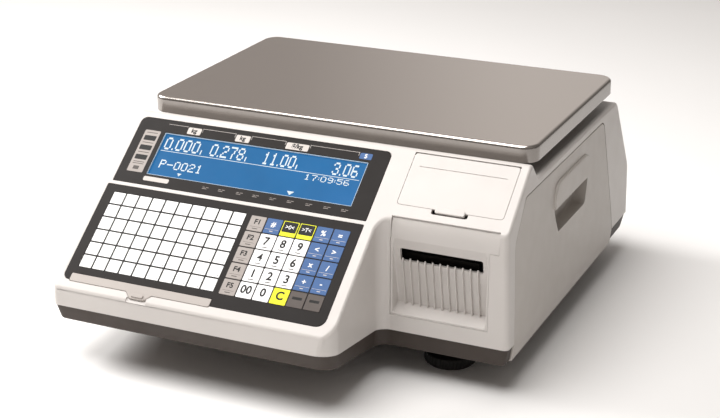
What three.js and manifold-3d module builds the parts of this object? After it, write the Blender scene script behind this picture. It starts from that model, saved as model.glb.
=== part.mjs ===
// Label-printing retail price scale, millimetres, +Z up.
// Origin: centre of the footprint on the counter. +X is the operator's right, -Y faces the operator.
import * as THREE from 'three';
import { mergeVertices } from 'three/addons/utils/BufferGeometryUtils.js';
import Module from 'manifold-3d';

const wasm = await Module();
wasm.setup();

// ---------------------------------------------------------------- driving dimensions
const GAP = 0.3;                // clearance between separate pieces
const WALL = 3;                 // moulded casing thickness
const SHEET = 1.5;              // platter steel thickness
const PLATTER = { width: 382, depth: 246, y: 56, top: 205, skirt: 15.5, radius: 15 };
const HALF_WIDTH = 197.5;       // casing half width at the parting line
const DRAFT = 1.33e-4;          // side walls lean in by this share of x for each mm of height
const FRONT_Y = -239;
const REAR_Y = 239;
const PRINTER_Y = -139;         // front face of the printer section
const BLOCK_X = 78;             // right side of the keyboard block
const SHELF_Z = 177.5;          // casing top under the platter
const SPLIT_Z = 45;             // parting line between casing and base tray
const SPLIT_FRONT_Z = 58;       // the parting line rises to this at the front
const BASE_Z = 27.5;            // underside of the base tray
const BASE_FRONT_Z = 44;
const BASE_TAPER = 0.001;       // base tray narrows by this share for each mm below the parting line
const TILT = THREE.MathUtils.degToRad(37.5);      // operator panel above the horizontal
const PANEL_Y = -81.5;          // top edge of the operator panel
const PANEL_Z = 193.5;
const REAR_TOP_Y = 183;         // customer side: the slanted face starts here
const REAR_BEND_Z = 84;         // and ends here
const DISPLAY = { x0: -188, x1: 67, s0: 6, s1: 79 };       // s runs down the panel from its top edge
const LCD = { x0: -158, x1: 48.7, s0: 20, s1: 67 };
const KEYPAD = { x0: -190.7, x1: 66.6, s0: 83, s1: 186 };
const PRESETS = { x0: -180.8, x1: -43, s0: 90.5, s1: 172.5 };
const FLAP = { x0: -183, x1: -41.5, s0: 179.3, s1: 187.3, tab: -111, tabHalf: 13, tabDrop: 6 };
const LID = { x0: 88, x1: 185, s0: 3, s1: 57, thick: 1.6, pin: 0.7, swing: 1 };
const VISOR = { x0: 88.5, x1: 186.5, s0: 69.2, bottom: 131.5 };
const CHUTE = { x: 133, half: 45, backHalf: 42, top: 131.5, bottom: 60, floor: 61.4, back: 68.5, backY: -127 };
const SLOT = { x0: 96, x1: 172, z0: 110.7, z1: 123 };
const RIB = { count: 11, first: 98.4, pitch: 6.9, thick: 1.1, tall: 2.6 };
const DOOR = { y0: -122, y1: 180.5, z0: 27, z1: 170, thick: 2.5 };
const DOOR_AXIS = { x: 190.5, z: 32 };
const HANDLE = { y0: -17, y1: 86, z0: 106, z1: 131, depth: 13, lip: 25 };
const FOOT = { x: 126, front: -88, rear: 190, radius: 24, disc: 11, stud: 5, top: 40 };
const CELL = { x: 0, y0: -10, y1: 120, size: 25, z0: 42.3 };
const MODULE_SIZE = 1;
const GEAR_TEETH = 35;
const PINION_TEETH = 14;
const PLATEN = { y: -112, z: 110, radius: 8 };
const PINION_ANGLE = THREE.MathUtils.degToRad(-99);
const TAKEUP = { y: -62, z: 70, radius: 14 };
const ROLL = { y: 30, z: 100, radius: 50, bore: 20, x0: 92, x1: 150 };
const HEAD_PIVOT = { y: -75, z: 128, radius: 2.5 };
const FRAME_X = 84;             // printer side plate, 2 mm thick

// ---------------------------------------------------------------- solid helpers
const cos = Math.cos(TILT);
const sin = Math.sin(TILT);

function toSolid(geometry) {
  const bare = geometry.index ? geometry.toNonIndexed() : geometry.clone();
  bare.deleteAttribute('normal');
  bare.deleteAttribute('uv');
  const merged = mergeVertices(bare, 1e-4);
  const vertProperties = Float32Array.from(merged.attributes.position.array);
  const triVerts = Uint32Array.from(merged.index.array);
  return new wasm.Manifold(new wasm.Mesh({ numProp: 3, vertProperties, triVerts }));
}

function toGeometry(solid) {
  const mesh = solid.getMesh();
  const geometry = new THREE.BufferGeometry();
  const positions = new Float32Array(mesh.numVert * 3);
  for (let i = 0; i < mesh.numVert; i++) {
    for (let k = 0; k < 3; k++) positions[i * 3 + k] = mesh.vertProperties[i * mesh.numProp + k];
  }
  geometry.setAttribute('position', new THREE.BufferAttribute(positions, 3));
  geometry.setIndex(new THREE.BufferAttribute(Uint32Array.from(mesh.triVerts), 1));
  return geometry;
}

function join(first, ...others) {
  return toGeometry(others.reduce((sum, other) => sum.add(toSolid(other)), toSolid(first)));
}

function cut(first, ...others) {
  return toGeometry(others.reduce((rest, other) => rest.subtract(toSolid(other)), toSolid(first)));
}

function common(first, second) {
  return toGeometry(toSolid(first).intersect(toSolid(second)));
}

// Corners [a, b, radius] in counter-clockwise order become a closed list of points with arcs.
function rounded(corners, segments = 5) {
  const points = [];
  corners.forEach((corner, i) => {
    const here = new THREE.Vector2(corner[0], corner[1]);
    const radius = corner[2] || 0;
    if (!radius) {
      points.push(here);
      return;
    }
    const before = corners[(i + corners.length - 1) % corners.length];
    const after = corners[(i + 1) % corners.length];
    const toBefore = new THREE.Vector2(before[0], before[1]).sub(here).normalize();
    const toAfter = new THREE.Vector2(after[0], after[1]).sub(here).normalize();
    const half = Math.acos(THREE.MathUtils.clamp(toBefore.dot(toAfter), -1, 1)) / 2;
    const bisector = toBefore.clone().add(toAfter).normalize();
    const centre = here.clone().addScaledVector(bisector, radius / Math.sin(half));
    const reach = radius / Math.tan(half);
    const start = here.clone().addScaledVector(toBefore, reach).sub(centre);
    const turn = Math.PI - 2 * half;
    const sense = Math.sign(toAfter.cross(toBefore));
    for (let k = 0; k <= segments; k++) {
      const angle = sense * turn * k / segments;
      points.push(start.clone().rotateAround(new THREE.Vector2(), angle).add(centre));
    }
  });
  return points;
}

// Moves every edge of a counter-clockwise corner list inwards by d and adjusts its radii.
function inset(corners, d) {
  return corners.map((corner, i) => {
    const before = corners[(i + corners.length - 1) % corners.length];
    const after = corners[(i + 1) % corners.length];
    const u = new THREE.Vector2(corner[0] - before[0], corner[1] - before[1]).normalize();
    const v = new THREE.Vector2(after[0] - corner[0], after[1] - corner[1]).normalize();
    const turn = u.cross(v);
    const scale = d / (1 + u.dot(v));
    const radius = corner[2] ? Math.max(corner[2] - Math.sign(turn) * d, 0.5) : 0;
    return [corner[0] + scale * (-u.y - v.y), corner[1] + scale * (u.x + v.x), radius];
  });
}

function extrude(points, depth) {
  return new THREE.ExtrudeGeometry(new THREE.Shape(points), { depth, bevelEnabled: false, curveSegments: 8 });
}

function alongX(pointsYZ, x0, x1) {
  const basis = new THREE.Matrix4().makeBasis(
    new THREE.Vector3(0, 1, 0), new THREE.Vector3(0, 0, 1), new THREE.Vector3(1, 0, 0));
  return extrude(pointsYZ, x1 - x0).applyMatrix4(basis).translate(x0, 0, 0);
}

function alongY(pointsXZ, y0, y1) {
  return extrude(pointsXZ, y1 - y0).rotateX(Math.PI / 2).translate(0, y1, 0);
}

function alongZ(pointsXY, z0, z1) {
  return extrude(pointsXY, z1 - z0).translate(0, 0, z0);
}

function box(x0, x1, y0, y1, z0, z1) {
  return new THREE.BoxGeometry(x1 - x0, y1 - y0, z1 - z0)
    .translate((x0 + x1) / 2, (y0 + y1) / 2, (z0 + z1) / 2);
}

function rectangle(a0, a1, b0, b1, radius = 0, segments = 4) {
  return rounded([[a0, b0, radius], [a1, b0, radius], [a1, b1, radius], [a0, b1, radius]], segments);
}

function rodX(y, z, radius, x0, x1, sides = 24) {
  return new THREE.CylinderGeometry(radius, radius, x1 - x0, sides)
    .rotateZ(Math.PI / 2).translate((x0 + x1) / 2, y, z);
}

function rodY(x, z, radius, y0, y1, sides = 16) {
  return new THREE.CylinderGeometry(radius, radius, y1 - y0, sides).translate(x, (y0 + y1) / 2, z);
}

function rodZ(x, y, radius, z0, z1, sides = 20) {
  return new THREE.CylinderGeometry(radius, radius, z1 - z0, sides)
    .rotateX(Math.PI / 2).translate(x, y, (z0 + z1) / 2);
}

function latheX(profile, y, z, sides = 32) {
  const points = profile.map(([radius, x]) => new THREE.Vector2(radius, x));
  return new THREE.LatheGeometry(points, sides).rotateZ(-Math.PI / 2).translate(0, y, z);
}

// Moves each vertex of a geometry by a function of its position.
function reshape(geometry, move) {
  const position = geometry.attributes.position;
  const point = new THREE.Vector3();
  for (let i = 0; i < position.count; i++) {
    point.fromBufferAttribute(position, i);
    move(point);
    position.setXYZ(i, point.x, point.y, point.z);
  }
  return geometry;
}

// ---------------------------------------------------------------- sloping frames
// Panel coordinates: x across, s down the panel from its top edge, w out of it.
function onPanel(geometry) {
  const basis = new THREE.Matrix4().makeBasis(
    new THREE.Vector3(1, 0, 0), new THREE.Vector3(0, cos, sin), new THREE.Vector3(0, -sin, cos));
  return geometry.applyMatrix4(basis).translate(0, PANEL_Y, PANEL_Z);
}

function panelPoint(s, w = 0) {
  return [PANEL_Y - cos * s - sin * w, PANEL_Z - sin * s + cos * w];
}

function panelPlate(points, w0, w1) {
  return onPanel(extrude(points, w1 - w0).translate(0, 0, w0));
}

function panelBox(x0, x1, s0, s1, w0, w1, radius = 0) {
  return panelPlate(rectangle(x0, x1, -s1, -s0, radius), w0, w1);
}

const rearSlope = Math.atan2(SHELF_Z - REAR_BEND_Z, REAR_Y - REAR_TOP_Y);

// Customer-side coordinates: x across as the customer sees it, s down the slanted face, w out of it.
function onRear(geometry) {
  const up = new THREE.Vector3(0, -Math.cos(rearSlope), Math.sin(rearSlope));
  const out = new THREE.Vector3(0, Math.sin(rearSlope), Math.cos(rearSlope));
  const basis = new THREE.Matrix4().makeBasis(new THREE.Vector3(-1, 0, 0), up, out);
  return geometry.applyMatrix4(basis).translate(0, REAR_TOP_Y, SHELF_Z);
}

function rearPlate(x0, x1, s0, s1, w0, w1, radius = 0) {
  const points = rectangle(x0, x1, -s1, -s0, radius);
  return onRear(extrude(points, w1 - w0).translate(0, 0, w0));
}

// ---------------------------------------------------------------- casing outline
const planCorners = [
  [-HALF_WIDTH, FRONT_Y, 8], [BLOCK_X, FRONT_Y, 18], [BLOCK_X, PRINTER_Y, 11],
  [HALF_WIDTH, PRINTER_Y, 5], [HALF_WIDTH, REAR_Y, 12], [-HALF_WIDTH, REAR_Y, 12],
];

const sideCorners = [
  [FRONT_Y, SPLIT_FRONT_Z], [PRINTER_Y - 2, SPLIT_Z], [REAR_Y, SPLIT_Z],
  [REAR_Y, REAR_BEND_Z, 12], [REAR_TOP_Y, SHELF_Z, 8], [-63, SHELF_Z, 3],
  [-77, PANEL_Z, 2], [PANEL_Y, PANEL_Z, 2.5], [FRONT_Y + 2.6, panelPoint(195.5)[1], 4],
];

function leanIn(geometry) {
  return reshape(geometry, (p) => { p.x *= 1 - DRAFT * (p.z - SPLIT_Z); });
}

// The casing's outer form, or its hollow when d is the wall thickness.
function casingForm(d) {
  const steps = d > 0 ? 2 : 5;
  const side = inset(sideCorners, d);
  if (d > 0) {
    for (let i = 0; i < 3; i++) side[i] = [side[i][0], sideCorners[i][1] - WALL, 0];
  }
  const prism = leanIn(alongZ(rounded(inset(planCorners, d), steps), 20, 210));
  return common(prism, alongX(rounded(side, steps), -210, 210));
}

function doorOutline(grow) {
  const corners = [
    [DOOR.y0, DOOR.z0, 3], [DOOR.y1, DOOR.z0, 3], [DOOR.y1 - 9.5, 67, 60],
    [137, DOOR.z1, 12], [-95, DOOR.z1, 7], [DOOR.y0, 136, 20],
  ];
  return rounded(inset(corners, -grow));
}

function keypadCorners(grow) {
  return rounded([
    [KEYPAD.x0 - grow, -KEYPAD.s1 - grow, 7], [KEYPAD.x1 + grow, -KEYPAD.s1 - grow, 7],
    [KEYPAD.x1 + grow, -KEYPAD.s0 + grow, 1.5], [KEYPAD.x0 - grow, -KEYPAD.s0 + grow, 1.5],
  ], 4);
}

function displayCorners(grow) {
  return rounded([
    [DISPLAY.x0 - grow, -DISPLAY.s1 - grow, 1.5], [DISPLAY.x1 + grow, -DISPLAY.s1 - grow, 1.5],
    [DISPLAY.x1 + grow, -DISPLAY.s0 + grow, 7], [DISPLAY.x0 - grow, -DISPLAY.s0 + grow, 7],
  ], 4);
}

function flapCorners(grow) {
  const { x0, x1, s0, s1, tab, tabHalf, tabDrop } = FLAP;
  const corners = [
    [x0, -s1, 2], [tab - tabHalf, -s1], [tab - tabHalf + 6, -s1 - tabDrop, 1],
    [tab + tabHalf - 6, -s1 - tabDrop, 1], [tab + tabHalf, -s1], [x1, -s1, 2], [x1, -s0, 1], [x0, -s0, 1],
  ];
  return rounded(inset(corners, -grow), 3);
}

// Where each opening in the rear wall lies, as the width and height of its cut-out.
const REAR_PORTS = {
  inlet: { x: -150, z: 63, width: 27.6, height: 20 },
  power: { x: -118, z: 63, width: 14, height: 20 },
  data: { x: 20, z: 61, width: 78, height: 16 },
};

function rearCut(port, grow, y0, y1) {
  const { x, z, width, height } = port;
  return box(x - width / 2 - grow, x + width / 2 + grow, y0, y1, z - height / 2 - grow, z + height / 2 + grow);
}

const SCREWS = [[-186, -205], [67, -205], [-186, 205], [186, 205]];

function upperCasing() {
  let shell = cut(casingForm(0), casingForm(WALL));
  for (const [x, y] of SCREWS) {
    const boss = common(rodZ(x, y, 6, SPLIT_FRONT_Z + 4, SPLIT_FRONT_Z + 20), casingForm(1));
    const toWall = x > 100 ? box(x, 196, y - 1.5, y + 1.5, 62, 78)
      : x > 0 ? box(x, 77, y - 1.5, y + 1.5, 62, 78) : box(-196, x, y - 1.5, y + 1.5, 62, 78);
    shell = cut(join(shell, boss, common(toWall, casingForm(1))), rodZ(x, y, 2, 40, 76, 12));
  }
  const openings = [
    panelPlate(displayCorners(GAP), -1.7, 6),
    panelBox(LCD.x0 - 6, LCD.x1 + 6, LCD.s0 - 5, LCD.s1 + 5, -9, 2, 2),
    panelPlate(keypadCorners(GAP), -2.1, 6),
    panelBox(-150, -120, 120, 126, -9, 0, 1),
    panelPlate(flapCorners(GAP), -2.1, 6),
    panelBox(FLAP.tab - 10, FLAP.tab + 10, 192, 202, -1.4, 8, 1),
    panelBox(LID.x0 - GAP, LID.x1 + GAP, LID.s0 - LID.swing, LID.s1 + GAP, -LID.thick - GAP, 6, 2),
    panelBox(LID.x0 - GAP, LID.x1 + GAP, LID.s0 - LID.swing, LID.s0 + 6, -9, 2),
    panelBox(LID.x0 + 4, LID.x1 - 4, LID.s0 + 5, LID.s1 - 5, -9, 2, 3),
    panelBox(121, 154, LID.s1 - 3, LID.s1 + 6, -LID.thick - GAP, 6, 2),
    lidRod(LID.pin + GAP, -4),
    visorOpening(),
    box(CHUTE.x - CHUTE.half - GAP, CHUTE.x + CHUTE.half + GAP, -150, -125, CHUTE.bottom - GAP, VISOR.bottom + 1),
    alongX(doorOutline(GAP), 186, 205),
    box(-24, 24, 84, 128, 170, 185),
    rearPlate(-116, 116, 22, 82, -9, 2, 3),
    rearPlate(-125 - GAP, 125 + GAP, 14 - GAP, 90 + GAP, -1.7, 6, 6),
    rodZ(150, -40, 7.3, 170, 185),
  ];
  for (const port of Object.values(REAR_PORTS)) openings.push(rearCut(port, GAP, 230, 245));
  return cut(shell, ...openings);
}

function visorOpening() {
  const [y, z] = panelPoint(VISOR.s0 - GAP, 4);
  const inner = panelPoint(VISOR.s0 - GAP, -8);
  const points = [[-150, VISOR.bottom - GAP], [-122, VISOR.bottom - GAP], inner, [y, z], [-150, z]]
    .map(([a, b]) => new THREE.Vector2(a, b));
  return alongX(points, VISOR.x0 - GAP, VISOR.x1 + GAP);
}

// ---------------------------------------------------------------- base tray
function splitHeight(y) {
  const share = Math.max(0, (PRINTER_Y - 2 - y) / (PRINTER_Y - 2 - FRONT_Y));
  return SPLIT_Z + share * (SPLIT_FRONT_Z - SPLIT_Z);
}

function trayForm(d, floor) {
  const top = SPLIT_Z - GAP;
  const topFront = SPLIT_FRONT_Z - GAP;
  const lift = d > 0 ? 10 : 0;
  const band = [
    [FRONT_Y - 3, BASE_FRONT_Z + floor], [PRINTER_Y - 2, BASE_Z + floor], [REAR_Y + 3, BASE_Z + floor],
    [REAR_Y + 3, top + lift], [PRINTER_Y - 2, top + lift], [FRONT_Y - 3, topFront + lift],
  ].map(([a, b]) => new THREE.Vector2(a, b));
  const plan = alongZ(rounded(inset(planCorners, 1.2 + d), d > 0 ? 2 : 5), BASE_Z - 2, SPLIT_FRONT_Z + 12);
  reshape(plan, (p) => {
    const share = 1 - BASE_TAPER * (splitHeight(p.y) - p.z);
    p.x *= share;
    p.y *= share;
  });
  return common(plan, alongX(band, -210, 210));
}

function baseTray() {
  const outer = trayForm(0, 0);
  const notchX = DOOR_AXIS.x - 6.9;
  const notch = box(notchX, 210, DOOR.y0 - 0.5, DOOR.y1 + 0.5, 20, 60);
  const lining = box(notchX - 2.5, 210, DOOR.y0 - 3, DOOR.y1 + 3, 20, 60);
  let tray = join(cut(outer, trayForm(2.5, 2.5)), common(outer, lining));
  const bosses = [];
  const holes = [notch];
  for (const x of [-FOOT.x, FOOT.x]) {
    for (const y of [FOOT.front, FOOT.rear]) {
      bosses.push(rodZ(x, y, 10, BASE_Z, 38));
      holes.push(rodZ(x, y, FOOT.stud + GAP, 20, 45));
    }
  }
  for (const [x, y] of SCREWS) holes.push(rodZ(x, y, 2.3, 20, 60, 12));
  for (const y of [0, 20]) holes.push(rodZ(CELL.x, y, 3.3, 20, 40, 12));
  for (const y of [DOOR.y0 - 6, DOOR.y1 - 2]) {
    holes.push(rodY(DOOR_AXIS.x, DOOR_AXIS.z, 1.5 + GAP, y, y + 8, 12));
  }
  for (let i = 0; i < 8; i++) holes.push(box(-170 + i * 9, -166 + i * 9, 80, 130, 20, 40));
  tray = join(tray, ...bosses);
  return cut(tray, ...holes);
}

// ---------------------------------------------------------------- operator panel
function displayPanel() {
  const plate = panelPlate(displayCorners(0), -1.4, 0);
  return cut(plate, panelBox(LCD.x0, LCD.x1, LCD.s0, LCD.s1, -5, 5, 0.8));
}

function lcdScreen() {
  return panelBox(LCD.x0 - 3, LCD.x1 + 3, LCD.s0 - 3, LCD.s1 + 3, -5.5, -1.7, 0.8);
}

function lcdBoard() {
  const board = panelBox(LCD.x0 - 2, LCD.x1 + 2, LCD.s0 - 2, LCD.s1 + 2, -7.6, -6);
  const driver = panelBox(-120, -90, 34, 50, -10.5, -7.5);
  const socket = panelBox(20, 44, 30, 38, -13, -7.5);
  return join(board, driver, socket);
}

function keypadOverlay() {
  const sheet = panelPlate(keypadCorners(0), -0.6, 0.2);
  const window = panelBox(PRESETS.x0, PRESETS.x1, PRESETS.s0, PRESETS.s1, -3, 3, 0.5);
  return cut(sheet, window, panelPlate(flapCorners(GAP), -3, 3));
}

function keypadCircuit() {
  return panelBox(KEYPAD.x0 + 4, KEYPAD.x1 - 2, KEYPAD.s0 + 2, FLAP.s0 - 2, -1.8, -0.9, 2);
}

function presetSheet() {
  const { x0, x1, s0, s1 } = PRESETS;
  return panelBox(x0 + GAP, x1 - GAP, s0 + GAP, s1 - GAP, -0.6, 0, 0.5);
}

function cardFlap() {
  const plate = panelPlate(flapCorners(0), -1.4, 0.4);
  const grip = panelBox(FLAP.tab - 6, FLAP.tab + 6, FLAP.s1 + 1.2, FLAP.s1 + 4.6, 0.3, 1.6, 1);
  return join(plate, grip);
}

// ---------------------------------------------------------------- customer display
function rearDisplayPanel() {
  const plate = rearPlate(-125, 125, 14, 90, -1.4, 0, 6);
  return cut(plate, rearPlate(-100, 100, 30, 74, -5, 5, 1));
}

function rearLcdScreen() {
  return rearPlate(-103, 103, 27, 77, -5.5, -1.7, 1);
}

// ---------------------------------------------------------------- label outlet
function labelOutlet() {
  const [topY, topZ] = panelPoint(VISOR.s0, -2.2);
  const hood = new THREE.QuadraticBezierCurve(
    new THREE.Vector2(topY, topZ), new THREE.Vector2(PRINTER_Y + 0.5, 146),
    new THREE.Vector2(PRINTER_Y + 0.3, VISOR.bottom));
  const face = hood.getPoints(8);
  const back = face.map((p, i) => {
    const along = hood.getTangent(i / 8);
    return new THREE.Vector2(p.x - 2.4 * along.y, p.y + 2.4 * along.x);
  }).reverse();
  const visor = alongX([...face, ...back], VISOR.x0, VISOR.x1);
  const lipDepth = PRINTER_Y + 0.3;
  const block = box(CHUTE.x - CHUTE.half, CHUTE.x + CHUTE.half, lipDepth, -122, CHUTE.bottom, VISOR.bottom + 0.1);
  const scoopPoints = [
    [-146, CHUTE.top + 1.5], [lipDepth - 0.26, CHUTE.top + 1.5], [CHUTE.backY, CHUTE.back],
    [lipDepth - 0.4, CHUTE.floor], [-146, CHUTE.floor],
  ].map(([a, b]) => new THREE.Vector2(a, b)).reverse();
  const scoop = alongX(scoopPoints, CHUTE.x - 1, CHUTE.x + 1);
  const flare = (CHUTE.half - 1.6 - CHUTE.backHalf) / (CHUTE.backY - PRINTER_Y);
  reshape(scoop, (p) => {
    const reach = CHUTE.backHalf + flare * (CHUTE.backY - p.y);
    p.x = CHUTE.x + (p.x - CHUTE.x) * reach;
  });
  const hollowPoints = [
    [-110, 128], [-134.5, 128], [CHUTE.backY + 2.6, CHUTE.back + 3], [-110, CHUTE.back + 3],
  ].map(([a, b]) => new THREE.Vector2(a, b));
  const hollow = alongX(hollowPoints, CHUTE.x - CHUTE.half + 2.4, CHUTE.x + CHUTE.half - 2.4);
  const outlet = cut(join(visor, block), scoop, hollow);
  const ribs = [];
  for (let i = 0; i < RIB.count; i++) {
    const x = RIB.first + i * RIB.pitch;
    const profile = [
      [CHUTE.backY - RIB.tall, CHUTE.back - 1], [CHUTE.backY + 1, CHUTE.back - 1],
      [-133.6, SLOT.z0 + 0.5], [-136, SLOT.z0 + 3], [-137.9, SLOT.z0 - 1],
    ].map(([a, b]) => new THREE.Vector2(a, b));
    ribs.push(alongX(profile, x - RIB.thick / 2, x + RIB.thick / 2));
  }
  const barEnd = box(84, 92, -126, -120, 106, 116.5);
  const slot = alongY(rectangle(SLOT.x0, SLOT.x1, SLOT.z0, SLOT.z1, 1.5, 3), -150, -118);
  return join(cut(outlet, slot, barEnd), ...ribs);
}

// A rod on the lid's hinge line that stops short of the lid's sides by the given margin.
function lidRod(radius, margin) {
  const [y, z] = panelPoint(LID.s0 + 1.4, -LID.thick);
  return rodX(y, z, radius, LID.x0 + margin, LID.x1 - margin, 12);
}

function printerLid() {
  const { x0, x1, s0, s1, thick } = LID;
  const plate = panelBox(x0, x1, s0, s1, -thick, 0, 3);
  const well = panelBox(x0 + 6, x1 - 6, s0 + 13.5, s0 + 14.5, -0.5, 3, 0.4);
  const tab = panelBox(124, 151, s1 - 1, s1 + 3.4, -thick, -0.4, 1.5);
  const barrel = lidRod(1.6, 1);
  return cut(join(cut(plate, well), tab, barrel), lidRod(LID.pin + GAP, -5));
}

// ---------------------------------------------------------------- side door
function wallX(z) {
  return HALF_WIDTH * (1 - DRAFT * (z - SPLIT_Z));
}

function sideDoor() {
  const toe = HALF_WIDTH - 3;
  const skin = [
    [toe, DOOR.z0 - 1], [HALF_WIDTH, SPLIT_Z - 1], [wallX(DOOR.z1 + 5), DOOR.z1 + 5],
    [wallX(DOOR.z1 + 5) - DOOR.thick, DOOR.z1 + 5], [HALF_WIDTH - DOOR.thick, SPLIT_Z],
    [toe - DOOR.thick, DOOR.z0 - 1],
  ].map(([a, b]) => new THREE.Vector2(a, b));
  const panel = common(alongY(skin, DOOR.y0 - 5, DOOR.y1 + 5), alongX(doorOutline(0), 180, 205));
  const { y0, y1, z0, z1, depth, lip } = HANDLE;
  const reach = wallX(z0) - depth;
  const cup = alongX(rectangle(y0 - 3, y1 + 3, z0 - 3, z1 + lip - 4, 8), reach - DOOR.thick, wallX(z0) - 2);
  const hoodOutline = rounded([[y0 - 1, z1, 1], [y1 + 2, z1, 1], [y1 + 2, z1 + lip, 16], [y0 - 1, z1 + lip, 16]]);
  const hood = alongX(hoodOutline, wallX(z1) - 2, wallX(z1) + 1.9);
  const pocket = alongX(rounded([[y0 + 13, z0, 3], [y1 - 8, z0, 6], [y1, z1], [y0, z1]], 3), reach, 205);
  const behindLip = alongX(rectangle(y0 + 8, y1 - 6, z0 + 6, z1 + lip - 8, 4), reach, wallX(z1) - 4);
  let door = cut(join(panel, cup, hood), pocket, behindLip);
  for (const y of [DOOR.y0 + 1, DOOR.y1 - 11]) {
    const knuckle = box(DOOR_AXIS.x - 3.4, toe - 0.5, y, y + 10, DOOR.z0 + 0.8, DOOR_AXIS.z + 4);
    door = join(door, knuckle);
  }
  for (const y of [DOOR.y0 - 2, DOOR.y1 - 9]) {
    door = cut(door, rodY(DOOR_AXIS.x, DOOR_AXIS.z, 1.5 + GAP, y, y + 11, 12));
  }
  return door;
}

function doorPin(y) {
  return rodY(DOOR_AXIS.x, DOOR_AXIS.z, 1.5, y, y + 8, 12);
}

// ---------------------------------------------------------------- weighing group
function platter() {
  const { width, depth, top, skirt, radius, y } = PLATTER;
  const plate = (d, z0, z1) => alongZ(
    rectangle(-width / 2 + d, width / 2 - d, y - depth / 2 + d, y + depth / 2 - d, radius - d, 6), z0, z1);
  return cut(plate(0, top - skirt, top), plate(SHEET, top - skirt - 1, top - SHEET));
}

function platterSupport() {
  const { y } = PLATTER;
  const arm = (sx, sy) => {
    const bar = box(0, Math.hypot(130, 80), -9, 9, 184, 194);
    return bar.rotateZ(Math.atan2(sy * 80, sx * 130)).translate(0, y, 0);
  };
  const arms = [arm(1, 1), arm(-1, 1), arm(1, -1), arm(-1, -1)];
  const hub = box(-26, 26, y - 24, y + 62, 184, 194);
  const column = box(-17, 17, 90, 119, CELL.z0 + CELL.size + GAP, 186);
  const pads = [];
  for (const sx of [-1, 1]) {
    for (const sy of [-1, 1]) pads.push(rodZ(sx * 130, y + sy * 80, 14, 184, 196));
  }
  return join(hub, column, ...arms, ...pads);
}

function supportPad(sx, sy) {
  return rodZ(sx * 130, PLATTER.y + sy * 80, 11, 196 + GAP, PLATTER.top - SHEET - GAP);
}

function loadCell() {
  const { x, y0, y1, size, z0 } = CELL;
  const beam = box(x - size / 2, x + size / 2, y0, y1, z0, z0 + size);
  const middle = (y0 + y1) / 2;
  const flexure = join(
    rodX(middle - 14, z0 + size / 2, 9.5, -30, 30, 20), rodX(middle + 14, z0 + size / 2, 9.5, -30, 30, 20),
    box(-30, 30, middle - 14, middle + 14, z0 + size / 2 - 4, z0 + size / 2 + 4));
  const bolts = [0, 20].map((y) => rodZ(x, y, 3.3, z0 - 5, z0 + 12, 12));
  return cut(beam, flexure, ...bolts);
}

function cellPlate() {
  const plate = box(-28, 28, -18, 34, BASE_Z + 2.5 + GAP, CELL.z0 - GAP);
  return cut(plate, rodZ(CELL.x, 0, 3.3, 20, 50, 12), rodZ(CELL.x, 20, 3.3, 20, 50, 12));
}

function cellBolt(y) {
  return join(rodZ(CELL.x, y, 5, 23, BASE_Z - GAP, 12), rodZ(CELL.x, y, 3, 24, CELL.z0 + 10, 12));
}

function bubbleLevel() {
  return join(rodZ(150, -40, 7, 166, SHELF_Z + 1), rodZ(150, -40, 9, SHELF_Z + GAP, SHELF_Z + 2.3));
}

// ---------------------------------------------------------------- electronics
function mainBoard() {
  const board = box(-180, -36, -110, 30, 50, 51.6);
  const parts = [
    box(-120, -96, -70, -46, 51.5, 54), box(-80, -62, -30, 0, 51.5, 56), box(-170, -150, -100, -60, 51.5, 61),
    box(-60, -44, -100, -70, 51.5, 60), box(-150, -110, 10, 22, 51.5, 59), rodZ(-70, -90, 6, 51.5, 66, 12),
  ];
  const posts = [[-174, -104], [-42, -104], [-174, 24], [-42, 24]].map(([x, y]) => rodZ(x, y, 4, 30.4, 50.5, 10));
  return join(board, ...parts, ...posts);
}

function powerSupply() {
  const can = box(-176, -96, 60, 165, 31, 72);
  const slots = [];
  for (let i = 0; i < 6; i++) slots.push(box(-168 + i * 12, -162 + i * 12, 75, 120, 66, 80));
  return cut(can, box(-174.8, -97.2, 61.2, 163.8, 32.2, 70.8), ...slots);
}

// ---------------------------------------------------------------- rear sockets
function mainsInlet() {
  const flange = rearCut({ ...REAR_PORTS.inlet, width: 34, height: 26 }, 0, 233, REAR_Y - WALL - GAP);
  const body = rearCut(REAR_PORTS.inlet, -GAP, 214, REAR_Y - 0.5);
  const socket = rearCut({ ...REAR_PORTS.inlet, width: 23, height: 15 }, 0, 222, 250);
  const pins = [-7, 0, 7].map((dx) => box(-151 + dx, -149 + dx, 221, 236, 61, 65));
  return join(cut(join(flange, body), socket), ...pins);
}

function portBlock() {
  const body = rearCut(REAR_PORTS.data, -GAP, 216, REAR_Y - 0.5);
  const sockets = [-24, -4].map((dx) => box(14 + dx - 6, 14 + dx + 6, 222, 250, 56, 64.5));
  const serial = alongY(rounded([[30, 56.5, 1.5], [50, 56.5, 1.5], [51.5, 65, 1.5], [28.5, 65, 1.5]], 3), 230, 250);
  return cut(body, ...sockets, serial);
}

function switchHousing() {
  const { power } = REAR_PORTS;
  const body = join(rearCut(power, -GAP, 218, REAR_Y - 0.5),
    rearCut({ ...power, width: 18, height: 24 }, 0, 232, REAR_Y - WALL - GAP));
  return cut(body, rearCut({ ...power, width: 9, height: 16 }, 0, 225, 250));
}

function powerRocker() {
  const { x, z } = REAR_PORTS.power;
  const profile = [
    [228, z - 4], [232, z - 7.2], [238.6, z - 6.6], [236.4, z], [235.6, z + 6.8], [232, z + 7.2], [228, z + 4],
  ].map(([a, b]) => new THREE.Vector2(a, b));
  return alongX(profile, x - 4.2, x + 4.2);
}

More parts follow.
